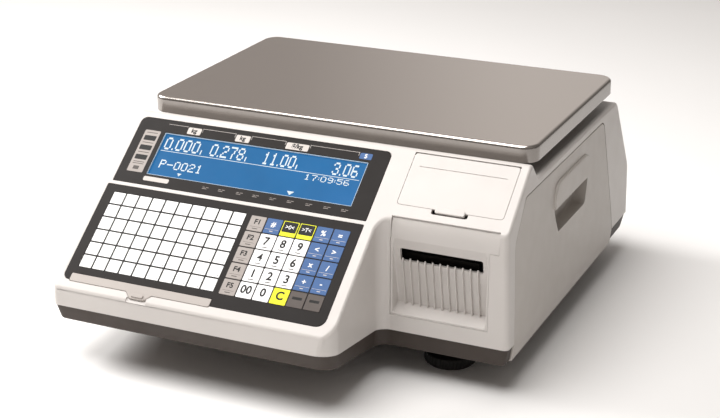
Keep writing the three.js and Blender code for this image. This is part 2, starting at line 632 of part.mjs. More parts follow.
// ---------------------------------------------------------------- printer
function gear(teeth, x0, x1, y, z, phase) {
  const pitch = MODULE_SIZE * teeth / 2;
  const step = 2 * Math.PI / teeth;
  const points = [];
  for (let i = 0; i < teeth; i++) {
    const middle = phase + i * step;
    const corners = [
      [pitch - 1.15 * MODULE_SIZE, -0.3], [pitch + 0.85 * MODULE_SIZE, -0.11],
      [pitch + 0.85 * MODULE_SIZE, 0.11], [pitch - 1.15 * MODULE_SIZE, 0.3],
    ];
    for (const [radius, share] of corners) {
      const angle = middle + share * step;
      points.push(new THREE.Vector2(y + radius * Math.cos(angle), z + radius * Math.sin(angle)));
    }
  }
  return alongX(points, x0, x1);
}

const centreDistance = MODULE_SIZE * (GEAR_TEETH + PINION_TEETH) / 2 + 0.1;
const PINION = {
  y: PLATEN.y + centreDistance * Math.cos(PINION_ANGLE),
  z: PLATEN.z + centreDistance * Math.sin(PINION_ANGLE),
};

function platenGear() {
  const wheel = gear(GEAR_TEETH, 78, 82.5, PLATEN.y, PLATEN.z, PINION_ANGLE);
  const pulley = rodX(PLATEN.y, PLATEN.z, 7, 71, 78.5);
  return cut(join(wheel, pulley), rodX(PLATEN.y, PLATEN.z, 3 + GAP, 60, 90, 16));
}

function motorPinion() {
  const phase = PINION_ANGLE + Math.PI + Math.PI / PINION_TEETH;
  const wheel = gear(PINION_TEETH, 77.5, 83, PINION.y, PINION.z, phase);
  return cut(wheel, rodX(PINION.y, PINION.z, 2.5 + GAP, 60, 90, 16));
}

function stepperMotor() {
  const body = alongX(rectangle(PINION.y - 21, PINION.y + 21, PINION.z - 21, PINION.z + 21, 4, 2), 30, 69.3);
  const boss = rodX(PINION.y, PINION.z, 10, 69, 71.2);
  return join(body, boss, rodX(PINION.y, PINION.z, 2.5, 68, 82, 16));
}

function platenRoller() {
  const profile = [
    [0, 72], [3, 72], [3, 89], [PLATEN.radius, 89], [PLATEN.radius, 158], [3, 158], [3, 164], [0, 164],
  ];
  return latheX(profile, PLATEN.y, PLATEN.z);
}

function takeupSpool() {
  const profile = [
    [0, 71], [9, 71], [9, 77], [4, 77], [4, 88], [26, 88], [26, 90], [TAKEUP.radius, 90],
    [TAKEUP.radius - 2, 152], [0, 152],
  ];
  return latheX(profile, TAKEUP.y, TAKEUP.z);
}

function driveBelt() {
  const from = new THREE.Vector2(PLATEN.y, PLATEN.z);
  const to = new THREE.Vector2(TAKEUP.y, TAKEUP.z);
  const band = (extra) => {
    const along = to.clone().sub(from);
    const length = along.length();
    const tilt = Math.acos((7 - 9) / length);
    const points = [];
    for (let k = 0; k <= 12; k++) {
      const angle = along.angle() + tilt + (2 * Math.PI - 2 * tilt) * k / 12;
      points.push(new THREE.Vector2(Math.cos(angle), Math.sin(angle)).multiplyScalar(7 + extra).add(from));
    }
    for (let k = 0; k <= 12; k++) {
      const angle = along.angle() - tilt + 2 * tilt * k / 12;
      points.push(new THREE.Vector2(Math.cos(angle), Math.sin(angle)).multiplyScalar(9 + extra).add(to));
    }
    return points;
  };
  return cut(alongX(band(1.5), 72, 76), alongX(band(GAP), 70, 80));
}

function labelRoll() {
  const { y, z, radius, bore, x0, x1 } = ROLL;
  return cut(rodX(y, z, radius, x0, x1, 48), rodX(y, z, bore, x0 - 5, x1 + 5, 32));
}

function rollCore() {
  const { y, z, bore, x0, x1 } = ROLL;
  return cut(rodX(y, z, bore - GAP, x0 - 1, x1 + 1, 32), rodX(y, z, bore - 2, x0 - 5, x1 + 5, 32));
}

function rollHub() {
  const { y, z, bore, x0, x1 } = ROLL;
  const hub = join(rodX(y, z, bore - 2 - GAP, x0 - 2, x1 + 2, 32), rodX(y, z, 42, x0 - 4, x0 - 2, 32));
  return cut(hub, rodX(y, z, 6 + GAP, x0 - 10, x1 + 10, 20));
}

function printerFrame() {
  const outline = rounded([
    [-130, 62], [-40, BASE_Z + 3], [100, BASE_Z + 3], [100, 130, 20], [0, 156, 10], [-104, 152, 8],
    [-130, 134, 4],
  ]);
  const plate = alongX(outline, FRAME_X, FRAME_X + 2);
  const foot = box(FRAME_X, 176, -30, 92, BASE_Z + 3, BASE_Z + 5);
  const bracket = box(69.6, 71.4, PINION.y - 20, PINION.y + 20, PINION.z - 20, PINION.z + 10);
  const spacers = [-17, 17].map((dy) => rodX(PINION.y + dy, PINION.z - 16, 2.5, 70.5, FRAME_X + 1, 12));
  const spindle = rodX(ROLL.y, ROLL.z, 6, FRAME_X, ROLL.x1 + 8, 20);
  const pivot = rodX(HEAD_PIVOT.y, HEAD_PIVOT.z, HEAD_PIVOT.radius, FRAME_X, 164, 16);
  const frame = join(plate, foot, bracket, ...spacers, spindle, pivot);
  return cut(frame, rodX(PLATEN.y, PLATEN.z, 3 + GAP, 80, 90, 16), rodX(TAKEUP.y, TAKEUP.z, 4 + GAP, 80, 90, 16),
    rodX(PINION.y, PINION.z, 10 + GAP, 60, 80, 20), rodX(PINION.y, PINION.z, 5, 80, 90, 16));
}

function headBracket() {
  const arms = [92, 154].map((x) => alongX(rounded([
    [-117, 131], [-102, 131], [-80, 122, 4], [-69, 123, 4], [-69, 133, 4], [-80, 138, 4], [-117, 138, 2],
  ], 3), x, x + 3));
  const bridge = box(92, 157, -117, -100, 134, 138);
  const lever = box(140, 152, -104, -101, 136, 156);
  return cut(join(bridge, lever, ...arms), rodX(HEAD_PIVOT.y, HEAD_PIVOT.z, HEAD_PIVOT.radius + GAP, 80, 170, 16));
}

function printHead() {
  const shell = box(95.5, 153.5, -117, -101, 120, 134 - GAP);
  const edge = alongX([[-115, 120.5], [-113.5, 118.6], [-110.5, 118.6], [-109, 120.5]]
    .map(([a, b]) => new THREE.Vector2(a, b)), 95.5, 153.5);
  return join(shell, edge);
}

function peelBar() {
  const bar = alongX([[-124.5, 109], [-121.5, 108], [-121.5, 113.5], [-123.8, 114.5]]
    .map(([a, b]) => new THREE.Vector2(a, b)), FRAME_X + 2 + GAP, 164);
  return bar;
}

// ---------------------------------------------------------------- feet and screws
function foot(x, y) {
  const { radius, disc, stud, top } = FOOT;
  const points = [];
  const lobes = 20;
  for (let i = 0; i < lobes * 2; i++) {
    const r = i % 2 ? radius : radius - 0.8;
    const angle = Math.PI * i / lobes;
    points.push(new THREE.Vector2(r * Math.cos(angle), r * Math.sin(angle)));
  }
  const wheel = alongZ(points, 1.5, disc);
  const sole = rodZ(0, 0, radius - 3, 0, 2, 20);
  return join(wheel, sole, rodZ(0, 0, stud, disc - 1, top, 12)).translate(x, y, 0);
}

function casingScrew(x, y) {
  const onSlope = y < PRINTER_Y;
  const rise = (BASE_FRONT_Z - BASE_Z) / (PRINTER_Y - FRONT_Y);
  const under = onSlope ? BASE_Z + (PRINTER_Y - y) * rise : BASE_Z;
  const seat = under - GAP - (onSlope ? 5 * rise : 0);
  return join(rodZ(x, y, 3.6, seat - 2.2, seat, 12), rodZ(x, y, 1.7, seat - 1, 74, 12));
}

// ---------------------------------------------------------------- materials
function material(colour, roughness, metalness = 0) {
  return new THREE.MeshStandardMaterial({ color: colour, roughness, metalness });
}

const white = material(0xe9e5e1, 0.45);
const black = material(0x35302d, 0.55);
const gloss = material(0x2e2a28, 0.25);
const screenBlue = material(0x1874b8, 0.3);
const card = material(0xf6f5f2, 0.6);
const greyPlastic = material(0xc9c2bf, 0.5);
const steel = material(0xb4aba5, 0.35, 0.9);
const zinc = material(0xa9a9a6, 0.45, 0.8);
const aluminium = material(0xc2c4c6, 0.4, 0.85);
const rubber = material(0x1f1f1f, 0.9);
const board = material(0x1d5a38, 0.5);
const paper = material(0xf3f1ea, 0.85);
const kraft = material(0xb08d63, 0.9);
const nylon = material(0xe4e0d2, 0.5);
const liquid = material(0xcfe06a, 0.1);

// ---------------------------------------------------------------- assembly
const scale = new THREE.Group();
const operatorPanel = new THREE.Group();
const weighing = new THREE.Group();
const printer = new THREE.Group();
const electronics = new THREE.Group();
scale.add(operatorPanel, weighing, printer, electronics);

function place(group, name, geometry, finish) {
  const mesh = new THREE.Mesh(geometry, finish);
  mesh.name = name;
  group.add(mesh);
}

place(scale, 'upper_casing', upperCasing(), white);
place(scale, 'base_tray', baseTray(), black);
place(scale, 'side_door', sideDoor(), white);
place(scale, 'door_pin_front', doorPin(DOOR.y0 - 5), steel);
place(scale, 'door_pin_rear', doorPin(DOOR.y1 - 4), steel);
place(operatorPanel, 'display_panel', displayPanel(), gloss);
place(operatorPanel, 'lcd_screen', lcdScreen(), screenBlue);
place(operatorPanel, 'lcd_board', lcdBoard(), board);
place(operatorPanel, 'keypad_overlay', keypadOverlay(), gloss);
place(operatorPanel, 'keypad_circuit', keypadCircuit(), board);
place(operatorPanel, 'preset_sheet', presetSheet(), card);
place(operatorPanel, 'card_flap', cardFlap(), greyPlastic);
place(operatorPanel, 'rear_display_panel', rearDisplayPanel(), gloss);
place(operatorPanel, 'rear_lcd_screen', rearLcdScreen(), screenBlue);
place(weighing, 'platter', platter(), steel);
place(weighing, 'platter_support', platterSupport(), aluminium);
place(weighing, 'load_cell', loadCell(), aluminium);
place(weighing, 'load_cell_plate', cellPlate(), zinc);
place(weighing, 'bubble_level', bubbleLevel(), liquid);
[[-1, -1], [1, -1], [-1, 1], [1, 1]].forEach(([sx, sy], i) => {
  place(weighing, `support_pad_${i + 1}`, supportPad(sx, sy), rubber);
});
[0, 20].forEach((y, i) => place(weighing, `load_cell_bolt_${i + 1}`, cellBolt(y), zinc));
place(printer, 'printer_lid', printerLid(), white);
place(printer, 'lid_hinge_pin', lidRod(LID.pin, -3), steel);
place(printer, 'label_outlet', labelOutlet(), white);
place(printer, 'printer_frame', printerFrame(), zinc);
place(printer, 'stepper_motor', stepperMotor(), zinc);
place(printer, 'motor_pinion', motorPinion(), nylon);
place(printer, 'platen_gear', platenGear(), nylon);
place(printer, 'platen_roller', platenRoller(), rubber);
place(printer, 'takeup_spool', takeupSpool(), greyPlastic);
place(printer, 'drive_belt', driveBelt(), rubber);
place(printer, 'label_roll', labelRoll(), paper);
place(printer, 'roll_core', rollCore(), kraft);
place(printer, 'roll_hub', rollHub(), greyPlastic);
place(printer, 'head_bracket', headBracket(), zinc);
place(printer, 'print_head', printHead(), aluminium);
place(printer, 'peel_bar', peelBar(), steel);
place(electronics, 'main_board', mainBoard(), board);
place(electronics, 'power_supply', powerSupply(), zinc);
place(electronics, 'mains_inlet', mainsInlet(), black);
place(electronics, 'port_block', portBlock(), zinc);
place(electronics, 'switch_housing', switchHousing(), black);
place(electronics, 'power_rocker', powerRocker(), rubber);
[[-FOOT.x, FOOT.front], [FOOT.x, FOOT.front], [-FOOT.x, FOOT.rear], [FOOT.x, FOOT.rear]].forEach(([x, y], i) => {
  place(scale, `levelling_foot_${i + 1}`, foot(x, y), rubber);
});
SCREWS.forEach(([x, y], i) => place(scale, `casing_screw_${i + 1}`, casingScrew(x, y), zinc));

export default scale;
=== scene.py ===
"""Label-printing retail price scale: the visible surfaces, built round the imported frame.

Sizes are millimetres in the frame's own axes: +X the operator's right, -Y the operator's side, +Z up.
Meshes are made in millimetres and stored in metres.
"""

import math

import bmesh
import bpy
from mathutils import Matrix, Vector


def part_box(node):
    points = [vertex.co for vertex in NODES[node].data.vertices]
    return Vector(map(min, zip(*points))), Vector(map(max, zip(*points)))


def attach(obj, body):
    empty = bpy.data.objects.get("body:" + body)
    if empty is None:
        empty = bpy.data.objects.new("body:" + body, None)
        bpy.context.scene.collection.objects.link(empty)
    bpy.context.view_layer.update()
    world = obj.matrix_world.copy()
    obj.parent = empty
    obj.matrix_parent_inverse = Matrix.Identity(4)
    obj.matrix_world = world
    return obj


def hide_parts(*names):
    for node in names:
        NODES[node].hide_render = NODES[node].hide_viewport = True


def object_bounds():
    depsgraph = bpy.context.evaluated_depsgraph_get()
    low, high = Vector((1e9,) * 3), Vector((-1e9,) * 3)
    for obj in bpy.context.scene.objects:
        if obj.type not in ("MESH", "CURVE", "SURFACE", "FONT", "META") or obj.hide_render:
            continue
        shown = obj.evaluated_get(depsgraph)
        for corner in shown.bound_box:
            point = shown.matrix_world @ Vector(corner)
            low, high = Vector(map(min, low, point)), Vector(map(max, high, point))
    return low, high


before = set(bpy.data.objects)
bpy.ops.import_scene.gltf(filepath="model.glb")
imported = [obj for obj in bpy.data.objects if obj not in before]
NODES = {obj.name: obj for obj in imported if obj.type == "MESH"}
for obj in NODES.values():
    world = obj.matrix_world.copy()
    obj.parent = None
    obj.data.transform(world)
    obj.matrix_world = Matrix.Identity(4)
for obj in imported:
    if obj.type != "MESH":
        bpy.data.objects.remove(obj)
CAD_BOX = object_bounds()
MM = 0.001


def box_mm(node):
    low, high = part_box(node)
    return low / MM, high / MM


# ---- driving dimensions
# Areas on the operator panel are x0, x1, s0, s1, with s measured down the slope and w out of it.
GAP = 0.3
SEAM = 0.7
WALL = 3.0
HALF_WIDTH = 197.5
DRAFT = 1.33e-4
FRONT_Y = -239.0
REAR_Y = 239.0
PRINTER_Y = -139.0
BLOCK_X = 78.0
SHELF_Z = 177.5
SPLIT_Z = 45.0
SPLIT_FRONT_Z = 58.0
BASE_Z = 27.5
BASE_FRONT_Z = 44.0
BASE_TAPER = 0.001
PANEL_Y = -81.5
PANEL_Z = 193.5
TILT = math.radians(37.5)
REAR_TOP_Y = 183.0
REAR_BEND_Z = 84.0
REAR_SLOPE = math.atan2(SHELF_Z - REAR_BEND_Z, REAR_Y - REAR_TOP_Y)
DISPLAY = (-188.0, 67.0, 6.0, 79.0)
LCD = (-158.0, 48.7, 20.0, 67.0)
KEYPAD = (-190.7, 66.6, 83.0, 186.0)
PRESETS = (-180.8, -43.0, 90.5, 172.5)
PRESET_GRID = (10, 6)
PAD = (-38.4, 58.2, 91.3, 173.3)
PAD_GRID = (6, 5)
LID = (88.0, 185.0, 3.0, 57.0)
VISOR_X = (88.5, 186.5)
VISOR_S = 69.2
VISOR_Z = 131.5
CHUTE_X = 133.0
CHUTE_HALF = 45.0
SLOT = (96.0, 172.0, 110.7, 123.0)
RIBS = 11
RIB_FIRST = 98.4
RIB_PITCH = 6.9
DOOR = (-122.0, 180.5, 27.0, 170.0)
DOOR_AXIS = (190.5, 32.0)
HANDLE = (-17.0, 86.0, 106.0, 131.0)
HANDLE_LIP = 25.0
HANDLE_DEPTH = 13.0
DISPLAY_DEPTH = -1.7
FILM_DEPTH = -2.1
DOOR_SKIN = 2.5
DOOR_PIN_HOLE = 1.8
LID_PIN_HOLE = 1.0
TRAY_INSET = 1.2
TRAY_WALL = 2.5
TRAY_RIM = 2.4
FOOT_HOLE = 5.3
SCREW_HOLE = 2.3
CELL_BOLT_HOLE = 3.3
KEY_GAP = 0.55
PRESET_GAP = 0.8
KEY_W = 0.15
KEY_HEIGHT = 0.45
KEY_PRINT_W = 0.62
KEY_BAR_W = 0.52
KEY_BAR_HEIGHT = 0.12
PAST = 210.0
CUT_OVER = 6.0
CUT_UNDER = -9.0
GLASS_UNDER = -5.5
GLASS_TOP = -1.7
PIXEL_W = -1.75
PIXEL_HEIGHT = 0.15
PIXEL_GAP = 0.03
FIGURE_SCALE = 1.38
MARK_W = -0.1
PLATTER_CORNER = 15.0
PLATTER_ROUND = 3.4
PLATTER_SHEET = 1.5
SCREWS = [(-186, -205), (67, -205), (-186, 205), (186, 205)]
FEET = [(-126, -88), (126, -88), (-126, 190), (126, 190)]
FOOT_TOP = 40.0
FOOT_LOBES = 44
FOOT_STEPS = 4
FOOT_KNURL = 0.45
# Radius, height and share of the knurl at each level of a foot.
FOOT_PROFILE = [
    (20.5, 0, 0), (21.2, 0.5, 0), (21.2, 1.6, 0), (23.4, 2.2, 0.9), (23.9, 3.2, 1), (23.9, 9.6, 1),
    (23.2, 10.6, 0.8), (21, 11, 0), (8, 11, 0), (5, 11.2, 0), (5, FOOT_TOP, 0),
]
# The studio, in metres and watts; a lamp is name, place, target, disk size and power.
LAMPS = [
    ("left", (-1.35, -0.1, 1.1), (0.0, 0.0, 0.1), 0.9, 24),
    ("top", (-0.2, -0.5, 1.8), (0.0, -0.1, 0.1), 1.6, 33),
]
FLOOR_REACH = 6.0
CAMERA_AZIMUTH = math.radians(24.4)
CAMERA_ELEVATION = math.radians(20.78)
CAMERA_DISTANCE = 1.438
CAMERA_TARGET = (0.039, -0.0946)
TARGET_DROP = 0.07
CAMERA_LENS = 80.5

# ---- frames of reference
# Each matrix turns (across, up, out) into the frame's own axes, all in millimetres.
COS, SIN = math.cos(TILT), math.sin(TILT)
RCOS, RSIN = math.cos(REAR_SLOPE), math.sin(REAR_SLOPE)
UPRIGHT = Matrix.Identity(4)
ALONG_X = Matrix(((0, 0, 1, 0), (1, 0, 0, 0), (0, 1, 0, 0), (0, 0, 0, 1)))
ALONG_Y = Matrix(((1, 0, 0, 0), (0, 0, 1, 0), (0, 1, 0, 0), (0, 0, 0, 1)))
PANEL = Matrix(((1, 0, 0, 0), (0, COS, -SIN, PANEL_Y), (0, SIN, COS, PANEL_Z), (0, 0, 0, 1)))
REAR = Matrix(((-1, 0, 0, 0), (0, -RCOS, RSIN, REAR_TOP_Y), (0, RSIN, RCOS, SHELF_Z), (0, 0, 0, 1)))


def panel_point(s, w=0.0):
    return PANEL_Y - COS * s - SIN * w, PANEL_Z - SIN * s + COS * w


# ---- outlines
def rounded(corners, segments=6):
    """Corners (a, b, radius), counter-clockwise, become points with arcs."""
    points = []
    for i, corner in enumerate(corners):
        here = Vector(corner[:2])
        radius = corner[2] if len(corner) > 2 else 0
        if not radius:
            points.append(here)
            continue
        before = (Vector(corners[i - 1][:2]) - here).normalized()
        after = (Vector(corners[(i + 1) % len(corners)][:2]) - here).normalized()
        half = math.acos(max(-1.0, min(1.0, before.dot(after)))) / 2
        centre = here + (before + after).normalized() * (radius / math.sin(half))
        start = here + before * (radius / math.tan(half)) - centre
        sense = 1 if after.x * before.y - after.y * before.x > 0 else -1
        for k in range(segments + 1):
            angle = sense * (math.pi - 2 * half) * k / segments
            points.append(Matrix.Rotation(angle, 2) @ start + centre)
    return points


def inset(corners, d):
    """Moves every edge of a counter-clockwise corner list inwards by d."""
    moved = []
    for i, corner in enumerate(corners):
        here = Vector(corner[:2])
        u = (here - Vector(corners[i - 1][:2])).normalized()
        v = (Vector(corners[(i + 1) % len(corners)][:2]) - here).normalized()
        turn = u.x * v.y - u.y * v.x
        share = d / (1 + u.dot(v))
        radius = corner[2] if len(corner) > 2 else 0
        if radius:
            radius = max(radius - math.copysign(d, turn), 0.05)
        moved.append((here.x - share * (u.y + v.y), here.y + share * (u.x + v.x), radius))
    return moved


def rectangle(a0, a1, b0, b1, radius=0.0):
    return [(a0, b0, radius), (a1, b0, radius), (a1, b1, radius), (a0, b1, radius)]


def slope_rectangle(x0, x1, s0, s1, radius=0.0):
    """A rectangle on the operator panel or the customer slope, with s measured down it."""
    return rectangle(x0, x1, -s1, -s0, radius)


# ---- meshes
def new_object(name, bm):
    bmesh.ops.recalc_face_normals(bm, faces=bm.faces)
    mesh = bpy.data.meshes.new(name)
    bm.to_mesh(mesh)
    bm.free()
    made = bpy.data.objects.new(name, mesh)
    bpy.context.scene.collection.objects.link(made)
    return made


def add_loft(bm, loops, reference=UPRIGHT):
    """Skins loops of (across, up, out) points, all equally many, and caps both ends."""
    rings = [[bm.verts.new((reference @ Vector(p)) * MM) for p in loop] for loop in loops]
    for low, high in zip(rings, rings[1:]):
        for i in range(len(low)):
            j = (i + 1) % len(low)
            bm.faces.new((low[i], low[j], high[j], high[i]))
    bm.faces.new(rings[0][::-1])
    bm.faces.new(rings[-1])


def add_slab(bm, corners, t0, t1, reference=UPRIGHT, top=0.0, bottom=0.0, segments=6, steps=3):
    """A plate with its outline's corners rounded, and its top and bottom edges rounded to those radii."""
    stations = []
    for k in range(steps + 1 if bottom else 1):
        angle = math.pi / 2 * (1 - k / steps)
        stations.append((bottom * (1 - math.cos(angle)), t0 + bottom * (1 - math.sin(angle))))
    for k in range(steps + 1 if top else 1):
        angle = math.pi / 2 * k / steps
        stations.append((top * (1 - math.cos(angle)), t1 - top * (1 - math.sin(angle))))
    loops = [[(p.x, p.y, t) for p in rounded(inset(corners, d), segments)] for d, t in stations]
    add_loft(bm, loops, reference)


def slab(name, corners, t0, t1, reference=UPRIGHT, **edges):
    bm = bmesh.new()
    add_slab(bm, corners, t0, t1, reference, **edges)
    return new_object(name, bm)


def prism(name, points, t0, t1, reference=UPRIGHT, move=None):
    bm = bmesh.new()
    add_loft(bm, [[(p[0], p[1], t) for p in points] for t in (t0, t1)], reference)
    if move:
        for vertex in bm.verts:
            vertex.co = move(vertex.co / MM) * MM
    return new_object(name, bm)


def block(name, x0, x1, y0, y1, z0, z1):
    return prism(name, [(x0, y0), (x1, y0), (x1, y1), (x0, y1)], z0, z1)


def turned(name, profile, centre, axis="Z", sides=48):
    """A solid of revolution from (radius, height) pairs that start and end on the axis."""
    spin = {"X": ALONG_X, "Y": ALONG_Y, "Z": UPRIGHT}[axis]
    place = Matrix.Translation(Vector(centre)) @ spin
    bm = bmesh.new()
    rings = []
    for radius, height in profile:
        ring = []
        for k in range(sides if radius else 1):
            angle = 2 * math.pi * k / sides
            spot = Vector((radius * math.cos(angle), radius * math.sin(angle), height))
            ring.append(bm.verts.new((place @ spot) * MM))
        rings.append(ring)
    for low, high in zip(rings, rings[1:]):
        for k in range(sides):
            j = (k + 1) % sides
            if len(low) == 1:
                bm.faces.new((low[0], high[j], high[k]))
            elif len(high) == 1:
                bm.faces.new((low[k], low[j], high[0]))
            else:
                bm.faces.new((low[k], low[j], high[j], high[k]))
    return new_object(name, bm)


def rod(name, x, y, z0, z1, radius, axis="Z", sides=32):
    centre = {"Z": (x, y, 0), "Y": (x, 0, y), "X": (0, x, y)}[axis]
    return turned(name, [(0, z0), (radius, z0), (radius, z1), (0, z1)], centre, axis, sides)


def carve(target, operation, *tools):
    """Applies boolean steps with each tool in turn, and removes the tools."""
    for tool in tools:
        modifier = target.modifiers.new("carve", "BOOLEAN")
        modifier.operation = operation
        modifier.solver = "EXACT"
        modifier.object = tool
        graph = bpy.context.evaluated_depsgraph_get()
        result = bpy.data.meshes.new_from_object(target.evaluated_get(graph))
        target.modifiers.clear()
        target.data = result
        bpy.data.objects.remove(tool)
    return target


def cut(target, *tools):
    return carve(target, "DIFFERENCE", *tools)


def join(target, *tools):
    return carve(target, "UNION", *tools)


def common(target, tool):
    return carve(target, "INTERSECT", tool)


def soften(target, width, keep, angle=24, segments=4):
    """Rounds the edges sharper than angle whose middle, in millimetres, keep() accepts.

    A rounding can push points past the body's front or rear, so they are held to it.
    """
    bm = bmesh.new()
    bm.from_mesh(target.data)
    bmesh.ops.remove_doubles(bm, verts=bm.verts, dist=0.02 * MM)
    chosen = []
    for edge in bm.edges:
        if len(edge.link_faces) != 2 or edge.calc_face_angle(0) < math.radians(angle):
            continue
        middle = (edge.verts[0].co + edge.verts[1].co) / 2 / MM
        if keep(middle):
            chosen.append(edge)
    bmesh.ops.bevel(bm, geom=chosen, offset=width * MM, segments=segments, profile=0.5,
                    affect="EDGES", clamp_overlap=False, loop_slide=True)
    for vertex in bm.verts:
        vertex.co.y = max(FRONT_Y * MM, min(REAR_Y * MM, vertex.co.y))
    bm.to_mesh(target.data)
    bm.free()
    return target


def shade(target, angle=32):
    mesh = target.data
    mesh.shade_smooth()
    mesh.set_sharp_from_angle(angle=math.radians(angle))
    even = target.modifiers.new("even_shading", "WEIGHTED_NORMAL")
    even.keep_sharp = True


def piece(made, body, slot, finish, *replaced):
    """Gives a new piece its finish and its body, and hides the nodes that it stands for."""
    made.data.materials.clear()
    made.data.materials.append(finish)
    shade(made)
    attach(made, body)
    if replaced:
        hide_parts(*replaced)
    return made


# ---- materials
def colour(red, green, blue):
    """A display colour, 0 to 255, as the linear colour that a shader takes."""
    def linear(value):
        share = value / 255
        return share / 12.92 if share <= 0.04045 else ((share + 0.055) / 1.055) ** 2.4
    return linear(red), linear(green), linear(blue), 1.0


def shaded(tone, share):
    return tuple(min(1.0, channel * share) for channel in tone[:3]) + (1.0,)


class Nodes:
    """A shader tree with short ways to add and join its nodes."""

    def __init__(self, tree):
        self.tree = tree

    def node(self, kind, **values):
        made = self.tree.nodes.new(kind)
        for key, value in values.items():
            if key in made.inputs:
                made.inputs[key].default_value = value
            else:
                setattr(made, key, value)
        return made

    def link(self, source, target):
        self.tree.links.new(source, target)

    def coordinates(self, kind="Object"):
        return self.node("ShaderNodeTexCoord").outputs[kind]

    def parts(self, vector):
        """The X, Y and Z outputs of a vector."""
        split = self.node("ShaderNodeSeparateXYZ")
        self.link(vector, split.inputs["Vector"])
        return split.outputs

    def combine(self, operation, first, second):
        made = self.node("ShaderNodeMath", operation=operation)
        self.link(first, made.inputs[0])
        self.link(second, made.inputs[1])
        return made.outputs["Value"]

    def remap(self, source, low, high, to_low=0.0, to_high=1.0):
        made = self.node("ShaderNodeMapRange")
        spans = {"From Min": low, "From Max": high, "To Min": to_low, "To Max": to_high}
        for key, value in spans.items():
            made.inputs[key].default_value = value
        self.link(source, made.inputs["Value"])
        return made.outputs["Result"]

    def mix(self, factor):
        """A colour mix; its two colours are inputs 6 and 7."""
        made = self.node("ShaderNodeMix", data_type="RGBA")
        self.link(factor, made.inputs["Factor"])
        return made


class Finish(Nodes):
    """A Principled material whose colour, roughness and relief all come from procedural patterns."""

    def __init__(self, name, metallic=0.0, coat=0.0, coat_roughness=0.1, specular=0.5):
        self.material = bpy.data.materials.new(name)
        self.material.use_nodes = True
        super().__init__(self.material.node_tree)
        self.shader = self.tree.nodes["Principled BSDF"]
        self.shader.inputs["Metallic"].default_value = metallic
        self.shader.inputs["Coat Weight"].default_value = coat
        self.shader.inputs["Coat Roughness"].default_value = coat_roughness
        self.shader.inputs["Specular IOR Level"].default_value = specular
        self.place = self.coordinates()

    def noise(self, scale, detail=3.0, stretch=(1, 1, 1)):
        """A grain of about 1/scale metres, drawn out along the axes with a small stretch."""
        mapping = self.node("ShaderNodeMapping")
        mapping.inputs["Scale"].default_value = stretch
        self.link(self.place, mapping.inputs["Vector"])
        made = self.node("ShaderNodeTexNoise", Scale=scale, Detail=detail)
        self.link(mapping.outputs["Vector"], made.inputs["Vector"])
        return made.outputs["Fac"]

    def ramp(self, factor, low, high, start=0.3, end=0.7):
        made = self.node("ShaderNodeValToRGB")
        for stop, position, tone in zip(made.color_ramp.elements, (start, end), (low, high)):
            stop.position = position
            stop.color = tone
        self.link(factor, made.inputs["Fac"])
        return made.outputs["Color"]

    def darken_sides(self, source, share):
        """Painted shade: scales the colour by share on faces that stand upright or look down, up to 1 on
        level ones. With share 0 it masks a glow to the faces that look up.
        """
        up = self.parts(self.coordinates("Normal"))["Z"]
        level = self.remap(up, 0.0, 0.8 if share else 0.3, share)
        scale = self.node("ShaderNodeVectorMath", operation="SCALE")
        self.link(source, scale.inputs[0])
        self.link(level, scale.inputs["Scale"])
        return scale.outputs["Vector"]

    def paint(self, source):
        self.link(source, self.shader.inputs["Base Color"])
        return self

    def rough(self, factor, low, high):
        self.link(self.remap(factor, 0.3, 0.7, low, high), self.shader.inputs["Roughness"])
        return self

    def relief(self, factor, depth, strength=0.5):
        bump = self.node("ShaderNodeBump", Strength=strength, Distance=depth * MM)
        self.link(factor, bump.inputs["Height"])
        self.link(bump.outputs["Normal"], self.shader.inputs["Normal"])
        return self


def moulded(name, tone, rough=(0.34, 0.46), grain=1800, depth=0.02, vary=0.97, strength=0.25, **kind):
    """Injection-moulded plastic: a fine spark-eroded grain, faint handling marks, uneven gloss."""
    made = Finish(name, **kind)
    made.paint(made.ramp(made.noise(14, 5), shaded(tone, vary), tone, 0.35, 0.6))
    made.rough(made.noise(60, 6), *rough)
    made.relief(made.noise(grain, 2), depth, strength)
    return made.material


def brushed(name, tone, rough=(0.28, 0.4), stretch=(1, 60, 60), scale=60, depth=0.01, vary=0.9,
            strength=0.2, sides=1.0):
    """Metal with a fine grain drawn out along one axis; sides below 1 paints shade on the faces that stand
    upright.
    """
    made = Finish(name, metallic=1.0)
    grain = made.noise(scale, 6, stretch)
    paint = made.ramp(grain, shaded(tone, vary), tone, 0.3, 0.7)
    # Painted shade: below 1, sides darkens the faces that stand upright.
    if sides < 1:
        paint = made.darken_sides(paint, sides)
    made.paint(paint)
    made.rough(grain, *rough)
    made.relief(grain, depth, strength)
    return made.material


def printed(name, tone, rough=(0.4, 0.5), vary=0.95):
    """Screen-printed ink under a matt film."""
    made = Finish(name, specular=0.2)
    made.paint(made.ramp(made.noise(90, 4), shaded(tone, vary), tone))
    made.rough(made.noise(240, 4), *rough)
    made.relief(made.noise(3000, 1), 0.006, 0.2)
    return made.material


def lit(name, tone, strength, painted_reflection_tone=None):
    """A slightly uneven glow on faces that look up; a second tone, if given, is a painted reflection that
    the glow turns to at the lower right.
    """
    made = Finish(name, specular=0.12)
    source = made.ramp(made.noise(25, 3), shaded(tone, 0.93), tone)
    # Painted reflection: towards the screen's lower right the glow turns to the second tone.
    if painted_reflection_tone:
        place = made.parts(made.place)
        across = made.remap(place["X"], -0.02, LCD[1] * MM)
        down = made.remap(place["Z"], panel_point(LCD[2])[1] * MM, panel_point(LCD[3])[1] * MM)
        mix = made.mix(made.combine("MULTIPLY", across, down))
        made.link(source, mix.inputs[6])
        mix.inputs[7].default_value = painted_reflection_tone
        source = mix.outputs[2]
    made.paint(made.ramp(made.noise(25, 3), shaded(tone, 0.2), shaded(tone, 0.26)))
    made.link(made.darken_sides(source, 0.0), made.shader.inputs["Emission Color"])
    made.shader.inputs["Emission Strength"].default_value = strength
    made.rough(made.noise(120, 3), 0.4, 0.5)
    return made.material


